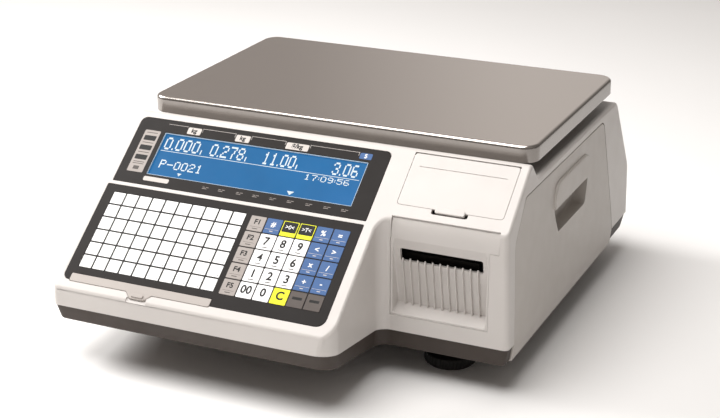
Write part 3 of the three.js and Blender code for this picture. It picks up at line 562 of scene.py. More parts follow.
def paper(name, tone):
    """Wound paper: fine layers seen on the ends and a soft tooth on the surface."""
    made = Finish(name, specular=0.2)
    made.paint(made.ramp(made.noise(900, 3, (0.05, 1, 1)), shaded(tone, 0.86), tone))
    made.rough(made.noise(200, 3), 0.8, 0.92)
    made.relief(made.noise(1500, 3), 0.03, 0.3)
    return made.material


WHITE = moulded("white_casing", colour(206, 201, 197))
WHITE_DOOR = moulded("white_door", colour(190, 184, 178), rough=(0.38, 0.5))
BLACK = moulded("black_base", colour(68, 60, 55), (0.5, 0.62), 900, 0.04, 0.9, specular=0.3)
OVERLAY = moulded("overlay_film", colour(27, 22, 20), (0.46, 0.52), 2600, 0.01, specular=0.15)
CARD = printed("preset_white", colour(250, 250, 249), vary=0.985)
KEY_WHITE = printed("key_white", colour(252, 252, 252), vary=0.985)
KEY_GREY = printed("key_grey", colour(166, 158, 153))
KEY_BLUE = printed("key_blue", colour(66, 100, 150))
KEY_DARK = printed("key_dark", colour(88, 80, 76))
KEY_BLACK = printed("key_black", colour(12, 11, 10))
KEY_YELLOW = printed("key_yellow", colour(236, 236, 42))
INK_BLACK = printed("ink_black", colour(16, 14, 13))
INK_GREY = printed("ink_grey", colour(84, 78, 74))
INK_WHITE = printed("ink_white", colour(240, 240, 240))
INK_PALE = printed("ink_pale", colour(204, 197, 192))
FLAP_GREY = moulded("flap_grey", colour(172, 164, 158), rough=(0.42, 0.52))
# The operator screen's second colour is a painted reflection at its lower right.
SCREEN = lit("screen_blue", colour(8, 98, 154), 0.9, colour(30, 104, 164))
REAR_SCREEN = lit("rear_screen_blue", colour(8, 98, 154), 0.9)
PIXELS = lit("screen_white", colour(232, 244, 250), 0.8)
SCREEN_EDGE = printed("screen_edge", colour(176, 196, 214))
# The platter's upright faces, its skirt, are darkened by sides=0.42: painted shade, not a darker finish.
PLATTER_STEEL = brushed("platter_steel", colour(216, 209, 203), (0.18, 0.26), (1, 60, 1), 90, 0.004, 0.95,
                        0.04, sides=0.42)
STEEL = brushed("pin_steel", colour(205, 203, 200), (0.18, 0.3), (40, 1, 40), 60)
ZINC = brushed("zinc_plate", colour(172, 172, 168), (0.34, 0.5), (1, 3, 3), 180, vary=0.82)
# Painted shade: a dark tone for the print head and peel bar, standing in for the shade inside the label
# slot; their own metal is brighter.
PAINTED_SHADE_STEEL = brushed("painted_shade_steel", colour(46, 44, 42), (0.5, 0.64), (40, 1, 40), 60)
ALUMINIUM = brushed("cast_aluminium", colour(188, 190, 192), (0.42, 0.6), (1, 1, 1), 420, 0.05, 0.85, 0.4)
RUBBER = moulded("black_rubber", colour(34, 33, 32), (0.7, 0.86), 700, 0.06, 0.8, specular=0.3)
CIRCUIT = moulded("circuit_board", colour(24, 88, 54), (0.36, 0.52), 260, 0.08, 0.7)
PAPER = paper("label_paper", colour(242, 240, 233))
KRAFT = paper("kraft_core", colour(172, 138, 98))
NYLON = moulded("nylon", colour(222, 217, 202), (0.42, 0.54), 800, 0.03, 0.94)
GREY_PLASTIC = moulded("grey_plastic", colour(158, 152, 148), (0.44, 0.56), 900, 0.03, 0.93)
VIAL = moulded("level_vial", colour(196, 214, 96), (0.06, 0.1), 300, 0.005, 0.9, coat=0.8)

# ---- casing
PLAN = [
    (-HALF_WIDTH, FRONT_Y, 8), (BLOCK_X, FRONT_Y, 18), (BLOCK_X, PRINTER_Y, 11),
    (HALF_WIDTH, PRINTER_Y, 5), (HALF_WIDTH, REAR_Y, 12), (-HALF_WIDTH, REAR_Y, 12),
]
SIDE = [
    (FRONT_Y, SPLIT_FRONT_Z), (PRINTER_Y - 2, SPLIT_Z), (REAR_Y, SPLIT_Z),
    (REAR_Y, REAR_BEND_Z, 14), (REAR_TOP_Y, SHELF_Z, 9), (-63, SHELF_Z, 4),
    (-77, PANEL_Z, 4.6), (PANEL_Y, PANEL_Z, 5.6), (FRONT_Y + 2.6, panel_point(195.5)[1], 5),
]
RIM = 2.6


def lean_in(point):
    """The side walls lean in a little towards the top."""
    return Vector((point.x * (1 - DRAFT * (point.z - SPLIT_Z)), point.y, point.z))


def wall_x(z):
    return HALF_WIDTH * (1 - DRAFT * (z - SPLIT_Z))


def casing_form(name, d):
    side = inset(SIDE, d)
    if d > 0:
        side[:3] = [(corner[0], SIDE[i][1] - WALL, 0) for i, corner in enumerate(side[:3])]
    body = prism(name, rounded(inset(PLAN, d), 8), 20, PAST, UPRIGHT, lean_in)
    return common(body, prism("side_form", rounded(side, 8), -PAST, PAST, ALONG_X))


def split_height(y):
    share = max(0.0, (PRINTER_Y - 2 - y) / (PRINTER_Y - 2 - FRONT_Y))
    return SPLIT_Z + share * (SPLIT_FRONT_Z - SPLIT_Z)


def door_outline(grow):
    y0, y1, z0, z1 = DOOR
    corners = [(y0, z0, 3), (y1, z0, 3), (y1 - 9.5, 67, 60), (137, z1, 12), (-95, z1, 7), (y0, 136, 20)]
    return inset(corners, -grow)


def keypad_outline(grow):
    x0, x1, s0, s1 = KEYPAD
    return inset([(x0, -s1, 7), (x1, -s1, 9), (x1, -s0, 1.5), (x0, -s0, 1.5)], -grow)


def display_outline(grow):
    x0, x1, s0, s1 = DISPLAY
    return inset([(x0, -s1, 1.5), (x1, -s1, 1.5), (x1, -s0, 6), (x0, -s0, 7)], -grow)


def flap_outline(grow):
    corners = [
        (-183, -187.3, 2), (-124, -187.3, 0.5), (-118, -193.3, 1), (-104, -193.3, 1), (-98, -187.3, 0.5),
        (-41.5, -187.3, 2), (-41.5, -179.3, 1), (-183, -179.3, 1),
    ]
    return inset(corners, -grow)


def lid_rod(name, radius, margin):
    y, z = panel_point(LID[2] + 1.4, -1.6)
    return rod(name, y, z, LID[0] + margin, LID[1] - margin, radius, "X", 20)


REAR_PORTS = {"inlet": (-150, 63, 27.6, 20), "power": (-118, 63, 14, 20), "data": (20, 61, 78, 16)}


def visor_opening():
    y, z = panel_point(VISOR_S - GAP, 4)
    inner = panel_point(VISOR_S - GAP, -8)
    points = [(-150, VISOR_Z - GAP), (-122, VISOR_Z - GAP), inner, (y, z), (-150, z)]
    return prism("visor_cut", points, VISOR_X[0] - GAP, VISOR_X[1] + GAP, ALONG_X)


def panel_cut(x0, x1, s0, s1, w0, w1, radius=1.0):
    return slab("panel_cut", slope_rectangle(x0, x1, s0, s1, radius), w0, w1, PANEL)


def casing_cutters():
    x0, x1, s0, s1 = LID
    tools = [
        slab("c", display_outline(GAP), DISPLAY_DEPTH, CUT_OVER, PANEL),
        panel_cut(LCD[0] - 6, LCD[1] + 6, LCD[2] - 5, LCD[3] + 5, CUT_UNDER, 2, 2),
        slab("c", keypad_outline(GAP), FILM_DEPTH, CUT_OVER, PANEL),
        slab("c", flap_outline(GAP), FILM_DEPTH, CUT_OVER, PANEL),
        panel_cut(-121, -101, 192, 202, -1.4, 8),
        panel_cut(x0 - GAP, x1 + GAP, s0 - 1, s1 + GAP, -1.9, CUT_OVER, 3.3),
        panel_cut(x0 - GAP, x1 + GAP, s0 - 1, s0 + 6, CUT_UNDER, 2, 1),
        panel_cut(x0 + 4, x1 - 4, s0 + 5, s1 - 5, CUT_UNDER, 2, 3),
        panel_cut(121, 154, s1 - 3, s1 + 5, -3.4, CUT_OVER, 2),
        lid_rod("c", LID_PIN_HOLE, -4),
        visor_opening(),
        block("c", CHUTE_X - 45.3, CHUTE_X + 45.3, -150, -125, 59.7, VISOR_Z + 1),
        slab("c", door_outline(SEAM), 186, 205, ALONG_X),
        block("c", -24, 24, 84, 128, 170, 185),
        slab("c", slope_rectangle(-116, 116, 22, 82, 3), CUT_UNDER, 2, REAR),
        slab("c", slope_rectangle(-125.3, 125.3, 13.7, 90.3, 6), DISPLAY_DEPTH, CUT_OVER, REAR),
        rod("c", 150, -40, 170, 185, 7.3),
    ]
    for x, z, width, height in REAR_PORTS.values():
        left, right = x - width / 2 - GAP, x + width / 2 + GAP
        under, over = z - height / 2 - GAP, z + height / 2 + GAP
        tools.append(block("c", left, right, 230, 245, under, over))
    return tools


def on_upper_rim(middle):
    """True above the parting line, whose own edge stays sharp."""
    return middle.z > split_height(middle.y) + 1.5


def upper_casing():
    shell = casing_form("casing_shell", 0)
    soften(shell, RIM, on_upper_rim, 28, 4)
    cut(shell, casing_form("hollow", WALL))
    cut(shell, *casing_cutters())
    piece(shell, "housing", "white_plastic", WHITE, "upper_casing")


# ---- base tray
def tray_form(name, d, floor):
    lift = 10 if d > 0 else 0
    top, top_front = SPLIT_Z - GAP + lift, SPLIT_FRONT_Z - GAP + lift
    band = [
        (FRONT_Y - 3, BASE_FRONT_Z + floor), (PRINTER_Y - 2, BASE_Z + floor), (REAR_Y + 3, BASE_Z + floor),
        (REAR_Y + 3, top), (PRINTER_Y - 2, top), (FRONT_Y - 3, top_front),
    ]

    def taper(point):
        share = 1 - BASE_TAPER * (split_height(point.y) - point.z)
        return Vector((point.x * share, point.y * share, point.z))

    outline = rounded(inset(PLAN, TRAY_INSET + d), 8)
    plan = prism(name, outline, BASE_Z - 2, SPLIT_FRONT_Z + 12, UPRIGHT, taper)
    return common(plan, prism("band", band, -PAST, PAST, ALONG_X))


def base_tray():
    tray = tray_form("base_shell", 0, 0)
    soften(tray, TRAY_RIM, lambda middle: middle.z < split_height(middle.y) - 8, 28, 4)
    cut(tray, tray_form("hollow", TRAY_WALL, TRAY_WALL))
    notch = DOOR_AXIS[0] - 6.9
    sill = block("c", notch - TRAY_WALL, PAST, DOOR[0] - 3, DOOR[1] + 3, 20, 60)
    join(tray, common(tray_form("lining", 0, 0), sill))
    for x, y in FEET:
        join(tray, rod("boss", x, y, BASE_Z, 38, 10))
    holes = [block("c", notch, PAST, DOOR[0] - 0.5, DOOR[1] + 0.5, 20, 60)]
    holes += [rod("c", x, y, 20, 45, FOOT_HOLE) for x, y in FEET]
    holes += [rod("c", x, y, 20, 60, SCREW_HOLE, sides=16) for x, y in SCREWS]
    holes += [rod("c", 0, y, 20, 40, CELL_BOLT_HOLE, sides=16) for y in (0, 20)]
    for y in (DOOR[0] - 6, DOOR[1] - 2):
        holes.append(rod("c", *DOOR_AXIS, y, y + 8, DOOR_PIN_HOLE, "Y", 16))
    for i in range(8):
        holes.append(block("c", -170 + i * 9, -166 + i * 9, 80, 130, 20, 40))
    cut(tray, *holes)
    piece(tray, "housing", "black_plastic", BLACK, "base_tray")


# ---- side door
def side_door():
    y0, y1, z0, z1 = DOOR
    toe = HALF_WIDTH - 3
    skin = [
        (toe - DOOR_SKIN, z0 - 1), (toe, z0 - 1), (HALF_WIDTH, SPLIT_Z - 1), (wall_x(z1 + 5), z1 + 5),
        (wall_x(z1 + 5) - DOOR_SKIN, z1 + 5), (HALF_WIDTH - DOOR_SKIN, SPLIT_Z),
    ]
    door = prism("door_shell", skin, y0 - 5, y1 + 5, ALONG_Y)
    common(door, slab("outline", door_outline(0), 180, 205, ALONG_X))
    soften(door, 0.9, lambda middle: middle.x > wall_x(middle.z) - 1.2 or middle.z < 40, 50, 3)
    h0, h1, low, high = HANDLE
    reach = wall_x(low) - HANDLE_DEPTH
    cup_corners = rectangle(h0 - 3, h1 + 3, low - 3, high + HANDLE_LIP - 4, 8)
    cup = slab("cup", cup_corners, reach - DOOR_SKIN, wall_x(low) - 2, ALONG_X)
    hood_corners = [(h0 - 1, high, 2), (h1 + 2, high, 2), (h1 + 2, high + HANDLE_LIP, 16),
                    (h0 - 1, high + HANDLE_LIP, 16)]
    hood = slab("hood", hood_corners, wall_x(high) - 2, wall_x(high) + 1.9, ALONG_X, top=1.6, segments=10)
    join(door, cup, hood)
    mouth = [(h0 + 13, low, 4), (h1 - 8, low, 6), (h1, high, 1.5), (h0, high, 1.5)]
    pocket = slab("pocket", mouth, reach, 205, ALONG_X, bottom=2.5)
    behind_corners = rectangle(h0 + 8, h1 - 6, low + 6, high + HANDLE_LIP - 8, 4)
    behind = slab("behind", behind_corners, reach, wall_x(high) - 4, ALONG_X)
    cut(door, pocket, behind)
    for y in (y0 + 1, y1 - 11):
        join(door, block("knuckle", DOOR_AXIS[0] - 3.4, toe - 0.5, y, y + 10, z0 + 0.8, DOOR_AXIS[1] + 4))
    for y in (y0 - 2, y1 - 9):
        cut(door, rod("c", *DOOR_AXIS, y, y + 11, DOOR_PIN_HOLE, "Y", 16))
    piece(door, "door", "white_plastic", WHITE_DOOR, "side_door")


# ---- operator panel
def frame_with_window(name, outline, window, t0, t1, edge=0.3):
    plate = slab(name, outline, t0, t1, PANEL, top=edge)
    return cut(plate, slab("c", slope_rectangle(*window, 0.8), t0 - 4, t1 + 5, PANEL))


def display_panel():
    plate = frame_with_window("display_frame", display_outline(0), LCD, -1.4, 0)
    piece(plate, "housing", "gloss_panel", OVERLAY, "display_panel")


def keypad_panel():
    sheet = frame_with_window("keypad_frame", keypad_outline(0), PRESETS, -0.6, 0.2, 0.15)
    cut(sheet, slab("c", flap_outline(GAP), -3, 3, PANEL))
    piece(sheet, "housing", "gloss_panel", OVERLAY, "keypad_overlay")


def tiles(name, spots, w, height, finish, slot="gloss_panel", reference=PANEL, radius=0.8):
    """Many small raised plates in one mesh; each spot is x0, x1, s0, s1."""
    bm = bmesh.new()
    for spot in spots:
        add_slab(bm, slope_rectangle(*spot, radius), w, w + height, reference, top=min(height * 0.6, 0.3),
                 segments=3, steps=2)
    return piece(new_object(name, bm), "housing", slot, finish)


def lettering(name, words, finish, reference=PANEL):
    """Figures and signs as thin solids; a word is text, x, s, height, width share, w and weight."""
    bm = bmesh.new()
    for text, x, s, height, share, w, weight in words:
        curve = bpy.data.curves.new("figures", "FONT")
        curve.body = text
        curve.size = height * FIGURE_SCALE
        curve.align_x = "CENTER"
        curve.align_y = "CENTER"
        curve.extrude = 0.05
        curve.offset = weight
        curve.resolution_u = 3
        holder = bpy.data.objects.new("figures", curve)
        bpy.context.scene.collection.objects.link(holder)
        graph = bpy.context.evaluated_depsgraph_get()
        mesh = bpy.data.meshes.new_from_object(holder.evaluated_get(graph))
        span = [vertex.co.x for vertex in mesh.vertices], [vertex.co.y for vertex in mesh.vertices]
        middle_x = (min(span[0]) + max(span[0])) / 2
        middle_y = (min(span[1]) + max(span[1])) / 2
        for vertex in mesh.vertices:
            across = (vertex.co.x - middle_x) * share + x
            up = vertex.co.y - middle_y - s
            vertex.co = (reference @ Vector((across, up, vertex.co.z + w))) * MM
        bm.from_mesh(mesh)
        bpy.data.objects.remove(holder)
        bpy.data.meshes.remove(mesh)
    return piece(new_object(name, bm), "housing", "gloss_panel", finish)


def grid_cells(area, grid, gap):
    x0, x1, s0, s1 = area
    columns, rows = grid
    width, height = (x1 - x0) / columns, (s1 - s0) / rows
    cells = []
    for row in range(rows):
        for column in range(columns):
            left, upper = x0 + column * width, s0 + row * height
            cells.append((left + gap, left + width - gap, upper + gap, upper + height - gap))
    return cells


def preset_keys():
    cells = grid_cells(PRESETS, PRESET_GRID, PRESET_GAP)
    backing = slab("preset_backing", slope_rectangle(*PRESETS, 0.5), -0.6, -0.05, PANEL)
    cut_gap = slab("c", inset(slope_rectangle(*PRESETS, 0.5), -2), -5, -0.6, PANEL)
    piece(cut(backing, cut_gap), "housing", "preset_card", INK_BLACK, "preset_sheet")
    tiles("preset_keys", cells, -0.06, 0.34, CARD, "preset_card", radius=0.5)
    marks = []
    for number, cell in enumerate(cells, 1):
        marks.append((str(number), cell[1] - 2.0, cell[3] - 1.9, 1.1, 0.9, 0.3, 0.0))
    lettering("preset_numbers", marks, INK_GREY)


KEY_KINDS = {
    "g": ("keys_grey", KEY_GREY), "b": ("keys_blue", KEY_BLUE), "z": ("keys_zero_frame", KEY_YELLOW),
    "w": ("keys_number", KEY_WHITE), "y": ("key_clear", KEY_YELLOW), "d": ("keys_print", KEY_DARK),
}
KEY_ROWS = ["gbzzbb", "gwwwbb", "gwwwbb", "gwwwbb", "gwwydd"]
KEY_SIGNS = ["F1 # >0< >T< % =", "F2 7 8 9 < >", "F3 4 5 6 x /", "F4 1 2 3 + -", "F5 00 0 C _ _"]


def function_keys():
    cells = grid_cells(PAD, PAD_GRID, KEY_GAP)
    groups = {kind: [] for kind in KEY_KINDS}
    figures, signs, zero_signs, legends, bars, pale_bars, grey_bars = [], [], [], [], [], [], []
    for row, kinds in enumerate(KEY_ROWS):
        for column, (kind, sign) in enumerate(zip(kinds, KEY_SIGNS[row].split())):
            cell = cells[row * PAD_GRID[0] + column]
            groups[kind].append(cell)
            x0, x1, s0, s1 = cell
            x, s = (x0 + x1) / 2, (s0 + s1) / 2
            if kind in "wy":
                figures.append((sign, x, s - 0.8, 8.0, 0.95, KEY_PRINT_W, 0.14 if sign == "4" else 0.32))
                if kind == "w" and row < 4:
                    bars.append((x - 2.6, x + 2.6, s1 - 2.6, s1 - 1.7))
            elif kind == "b":
                signs.append((sign, x, s - 1.4, 5.2, 1.0, KEY_PRINT_W, 0.2))
                pale_bars.append((x0 + 1.0, x1 - 1.0, s1 - 4.4, s1 - 4.1))
                pale_bars.append((x - 1.6, x + 1.6, s1 - 2.8, s1 - 2.0))
            elif kind == "z":
                zero_signs.append((sign, x, s - 1.6, 4.2, 0.9, 0.78, 0.08))
            elif kind == "g":
                legends.append((sign, x, s - 2.0, 5.0, 1.0, KEY_PRINT_W, 0.2))
                bars.append((x - 5.4, x + 5.4, s1 - 4.5, s1 - 4.2))
                bars.append((x - 2.6, x + 2.6, s1 - 2.8, s1 - 2.0))
            else:
                grey_bars.append((x - 4.6, x + 4.6, s - 2.4, s + 0.2))
    for kind, spots in groups.items():
        name, finish = KEY_KINDS[kind]
        tiles(name, spots, KEY_W, KEY_HEIGHT, finish)
    inner = [(x0 + 0.7, x1 - 0.7, s0 + 0.7, s1 - 4.0) for x0, x1, s0, s1 in groups["z"]]
    tiles("keys_zero_centre", inner, 0.5, 0.22, KEY_BLACK)
    lettering("key_figures", figures, INK_BLACK)
    lettering("key_signs", signs, INK_WHITE)
    lettering("key_legends", legends, INK_BLACK)
    lettering("zero_signs", zero_signs, INK_WHITE)
    tiles("key_bars_dark", bars, KEY_BAR_W, KEY_BAR_HEIGHT, INK_GREY, radius=0.1)
    tiles("key_bars_pale", pale_bars, KEY_BAR_W, KEY_BAR_HEIGHT, INK_PALE, radius=0.1)
    tiles("key_bars_print", grey_bars, KEY_BAR_W, KEY_BAR_HEIGHT, INK_BLACK, radius=0.3)


def panel_print():
    """Unit tabs, rating plate, status marks and the fine lines that join them."""
    tabs = [(-136.5, -122.5, 10.8, 18.3), (-86, -71.5, 11.2, 18.6), (-34.5, -12, 11.4, 18.6)]
    tiles("unit_tabs", tabs, MARK_W, 0.25, INK_PALE, radius=1.2)
    tiles("price_tab", [(38.2, 50, 11.2, 17.6)], MARK_W, 0.25, KEY_BLUE, radius=1.0)
    lines = [
        (-158, -137.5, 10.4, 10.8), (-121.5, -87, 10.4, 10.8), (-70.5, -35.5, 10.6, 11.0),
        (-11, 37.2, 11, 11.4),
    ]
    for edge in (-121.5, -87.5, -70.5, -36, -11, 36.8):
        lines.append((edge, edge + 0.4, 10.6, 14.6))
    tiles("unit_lines", lines, MARK_W, 0.2, INK_PALE, radius=0.1)
    units = [("kg", -129.5, 14.8), ("kg", -78.7, 15.1), ("$/kg", -23.2, 15.2)]
    lettering("unit_signs", [(*unit, 4.6, 1.0, 0.2, 0.2) for unit in units], INK_BLACK)
    lettering("price_sign", [("$", 44.1, 14.4, 4.6, 1.0, 0.2, 0.01)], INK_WHITE)
    tiles("rating_plate", [(-179, -162.5, 20, 66.7)], MARK_W, 0.25, KEY_GREY, radius=1.0)
    dark = [(-177, -164.5, s, s + 5.4) for s in (26, 36.8, 47.6)]
    tiles("rating_blocks", dark, 0.1, 0.12, KEY_BLACK, radius=0.8)
    rows = [(-176.5, -165, s, s + 0.7) for s in (22.4, 33.6, 44.4, 55.2, 57.2)]
    rows += [(-174, -168, 60.2, 64)]
    tiles("rating_rows", rows, 0.1, 0.12, INK_GREY, radius=0.15)
    tiles("blank_plate", [(-158.5, -132, 69.5, 74.2)], MARK_W, 0.25, INK_PALE, radius=1.4)
    status = []
    for x in (-93.6, -77.2, -59, -42.6, -25.7, -8.4, 9.8, 27.4, 44.3):
        status += [(x - 3.2, x - 0.6, 71.2, 71.7), (x + 0.2, x + 3.2, 71.2, 71.7)]
        status.append((x - 3.2, x + 1.4, 72.7, 73.2))
    tiles("status_marks", status, MARK_W, 0.16, KEY_GREY, radius=0.1)


# ---- screens
GLYPHS = {
    "0": "01110 10001 10001 10001 10001 10001 01110", "1": "00100 01100 00100 00100 00100 00100 01110",
    "2": "01110 10001 00001 00110 01000 10000 11111", "3": "01110 10001 00001 00110 00001 10001 01110",
    "5": "11111 10000 11110 00001 00001 10001 01110", "6": "01110 10000 10000 11110 10001 10001 01110",
    "7": "11111 00001 00010 00010 00100 00100 00100", "8": "01110 10001 10001 01110 10001 10001 01110",
    "9": "01110 10001 10001 01111 00001 00001 01110", "P": "11110 10001 10001 11110 10000 10000 10000",
    "-": "00000 00000 00000 11111 00000 00000 00000", ".": "0 0 0 0 0 0 1", ":": "0 0 1 0 1 0 0",
}


def glyph_cells(text, x0, x1, s0, s1):
    """The lit cells of a line of dot-matrix figures that fills x0 to x1 and s0 to s1."""
    space = 1.2
    widths = [len(GLYPHS[letter].split()[0]) for letter in text]
    cell = (x1 - x0) / (sum(widths) + space * (len(text) - 1))
    tall = (s1 - s0) / 7
    spots, x = [], x0
    for letter, width in zip(text, widths):
        for row, bits in enumerate(GLYPHS[letter].split()):
            for column, bit in enumerate(bits):
                if bit == "1":
                    left, upper = x + column * cell, s0 + row * tall
                    spots.append((left, left + cell, upper, upper + tall))
        x += (width + space) * cell
    return spots


def pixel_mesh(name, spots, reference):
    """Each lit cell as a thin block; neighbours all but touch, so the figures read as strokes."""
    bm = bmesh.new()
    for x0, x1, s0, s1 in spots:
        inner = rectangle(x0 + PIXEL_GAP, x1 - PIXEL_GAP, -s1 + PIXEL_GAP, -s0 - PIXEL_GAP)
        add_loft(bm, [[(a, b, t) for a, b, radius in inner] for t in (PIXEL_W, PIXEL_W + PIXEL_HEIGHT)],
                 reference)
    return piece(new_object(name, bm), "housing", "screen_blue", PIXELS)


def operator_screen():
    x0, x1, s0, s1 = LCD
    sheet = slope_rectangle(x0 - 3, x1 + 3, s0 - 3, s1 + 3, 0.8)
    glass = slab("screen_glass", sheet, GLASS_UNDER, GLASS_TOP, PANEL, top=0.2)
    piece(glass, "housing", "screen_blue", SCREEN, "lcd_screen")
    spots = []
    figures = (("0.000", -154, -118), ("0.278", -106, -71.5), ("11.00", -52, -20), ("3.06", 17.5, 42))
    for text, left, right in figures:
        spots += glyph_cells(text, left, right, 23.8, 37.2)
    for left in (-115.4, -69.2, -17.8):
        spots.append((left, left + 1.1, 32.5, 37.4))
    spots += glyph_cells("P-0021", -150, -106, 48.6, 57.6)
    spots += glyph_cells("17:09:56", -5.7, 37.9, 40.4, 46.4)
    spots.append((-155.5, 45.8, 38.7, 39.3))
    for step in range(4):
        spots.append((-16 + step * 0.8, -9.6 - step * 0.8, 60.6 + step * 0.9, 61.5 + step * 0.9))
        spots.append((-128 + step * 0.6, -124 - step * 0.6, 60.6 + step * 0.8, 61.4 + step * 0.8))
    pixel_mesh("screen_figures", spots, PANEL)
    rim = slope_rectangle(x0 + 0.02, x1 - 0.02, s0 + 0.02, s1 - 0.02, 0.75)
    edge = slab("screen_edge", rim, -1.68, -0.5, PANEL)
    cut(edge, slab("c", slope_rectangle(x0 + 0.7, x1 - 0.7, s0 + 0.7, s1 - 0.7, 0.4), -4, 3, PANEL))
    piece(edge, "housing", "gloss_panel", SCREEN_EDGE)


def customer_screen():
    window = (-100, 100, 30, 74)
    plate = slab("rear_frame", slope_rectangle(-125, 125, 14, 90, 6), -1.4, 0, REAR, top=0.3)
    cut(plate, slab("c", slope_rectangle(*window, 1), -5, 5, REAR))
    piece(plate, "housing", "gloss_panel", OVERLAY, "rear_display_panel")
    sheet = slope_rectangle(-103, 103, 27, 77, 1)
    glass = slab("rear_glass", sheet, GLASS_UNDER, GLASS_TOP, REAR, top=0.2)
    piece(glass, "housing", "screen_blue", REAR_SCREEN, "rear_lcd_screen")
    spots = []
    for text, left, right in (("0.278", -92, -56), ("11.00", -28, 6), ("3.06", 52, 80)):
        spots += glyph_cells(text, left, right, 36, 51)
    spots.append((-94, 92, 55, 55.6))
    pixel_mesh("rear_figures", spots, REAR)
    tabs = [(-78, -62, 18, 25), (-16, 6, 18, 25), (58, 72, 18, 25)]
    tiles("rear_tabs", tabs, MARK_W, 0.25, INK_PALE, radius=1.2, reference=REAR)
    units = [("kg", -70, 4.2), ("$/kg", -5, 4.2), ("$", 65, 4.6)]
    words = [(text, x, 21.5, height, 1.0, 0.2, 0.01) for text, x, height in units]
    lettering("rear_signs", words, INK_BLACK, reference=REAR)


# ---- card flap and printer lid
def card_flap():
    bm = bmesh.new()
    add_slab(bm, flap_outline(0), -1.4, 0.4, PANEL, top=0.4, segments=4)
    plate = new_object("flap_plate", bm)
    grip = slab("grip", slope_rectangle(-117, -105, 188.5, 191.9, 1.2), 0.2, 1.6, PANEL, top=0.6)
    piece(join(plate, grip), "flap", "grey_plastic", FLAP_GREY, "card_flap")


def printer_lid():
    x0, x1, s0, s1 = LID
    plate = slab("lid_shell", slope_rectangle(x0, x1, s0, s1, 3), -1.6, 0, PANEL, top=0.5)
    groove = slab("c", slope_rectangle(x0 + 8, x1 - 8, s0 + 13, s0 + 13.9, 0.4), -0.5, 3, PANEL)
    cut(plate, groove)
    join(plate, slab("tab", slope_rectangle(124, 151, s1 - 2.2, s1 + 3.4, 1.6), -1.6, 0.9, PANEL, top=0.8),
         lid_rod("barrel", 1.6, 1))
    cut(plate, lid_rod("c", LID_PIN_HOLE, -5))
    piece(plate, "lid", "white_plastic", WHITE, "printer_lid")


# ---- label outlet
def bezier(p0, p1, p2, count):
    points = []
    for i in range(count + 1):
        t = i / count
        spot = Vector(p0) * (1 - t) ** 2 + Vector(p1) * 2 * t * (1 - t) + Vector(p2) * t * t
        slope = (Vector(p1) - Vector(p0)) * (1 - t) + (Vector(p2) - Vector(p1)) * t
        points.append((spot, slope.normalized()))
    return points


def outlet_ribs():
    bm = bmesh.new()
    for i in range(RIBS):
        x = RIB_FIRST + i * RIB_PITCH
        profile = [(-129.6, 67.6), (-126, 67.6), (-133.6, 111.2), (-136, 113.9), (-137.9, 109.7)]
        loops = []
        for offset, shrink in ((-0.55, 0.35), (-0.3, 0), (0.3, 0), (0.55, 0.35)):
            moves = (shrink, 0, 0, 0, shrink)
            loops.append([(y + move, z, x + offset) for (y, z), move in zip(profile, moves)])
        add_loft(bm, loops, ALONG_X)
    return new_object("outlet_ribs", bm)


def label_outlet():
    top = panel_point(VISOR_S, -2.2)
    lip = PRINTER_Y + 0.3
    curve = bezier(top, (PRINTER_Y + 0.5, 146), (lip, VISOR_Z), 16)
    face = [tuple(spot) for spot, slope in curve]
    back = [(spot.x - 2.4 * slope.y, spot.y + 2.4 * slope.x) for spot, slope in reversed(curve)]
    outlet = prism("outlet_shell", face + back, *VISOR_X, ALONG_X)
    body = block("body", CHUTE_X - CHUTE_HALF, CHUTE_X + CHUTE_HALF, lip, -122, 60, VISOR_Z + 0.1)
    join(outlet, body)
    flare = 1.4 / 12
    scoop_points = [(-146, 133), (lip - 0.26, 133), (-127, 68.5), (lip - 0.4, 61.4), (-146, 61.4)]

    def widen(point):
        reach = 42 + flare * (-127 - point.y)
        return Vector((CHUTE_X + (point.x - CHUTE_X) * reach, point.y, point.z))

    scoop = prism("scoop", scoop_points[::-1], CHUTE_X - 1, CHUTE_X + 1, ALONG_X, widen)
    soften(scoop, 1.6, lambda middle: middle.y > lip + 1 and abs(middle.x - CHUTE_X) > 30, 30, 3)
    hollow = prism("hollow", [(-110, 128), (-134.5, 128), (-124.4, 71.5), (-110, 71.5)],
                   CHUTE_X - CHUTE_HALF + 2.4, CHUTE_X + CHUTE_HALF - 2.4, ALONG_X)
    cut(outlet, scoop, hollow)
    soften(outlet, 0.9, lambda middle: middle.y < lip + 0.6 and 62 < middle.z < 130.5
           and abs(middle.x - CHUTE_X) < 44.5, 24, 3)
    opening = slab("c", rectangle(*SLOT, 1.8), -150, -118, ALONG_Y)
    cut(outlet, opening, block("c", 84, 92, -126, -120, 106, 116.5))
    piece(outlet, "housing", "white_plastic", WHITE, "label_outlet")
    piece(outlet_ribs(), "housing", "white_plastic", WHITE)


# ---- platter
def platter():
    low, high = box_mm("platter")
    corners = rectangle(low.x, high.x, low.y, high.y, PLATTER_CORNER)
    round_top, sheet = PLATTER_ROUND, PLATTER_SHEET
    stations = []
    for k in range(7):
        angle = math.pi / 2 * (1 - k / 6)
        stations.append((round_top * (1 - math.cos(angle)), high.z - round_top * (1 - math.sin(angle))))
    stations += [(0.0, low.z + 0.5), (0.2, low.z), (sheet - 0.2, low.z), (sheet, low.z + 0.5)]
    for k in range(5):
        angle = math.pi / 2 * k / 4
        inner = round_top - sheet
        stations.append((round_top - inner * math.cos(angle), high.z - round_top + inner * math.sin(angle)))
    loops = [[(p.x, p.y, z) for p in rounded(inset(corners, d), 10)] for d, z in stations]
    bm = bmesh.new()
    add_loft(bm, loops)
    piece(new_object("platter_pan", bm), "platter", "platter_steel", PLATTER_STEEL, "platter")


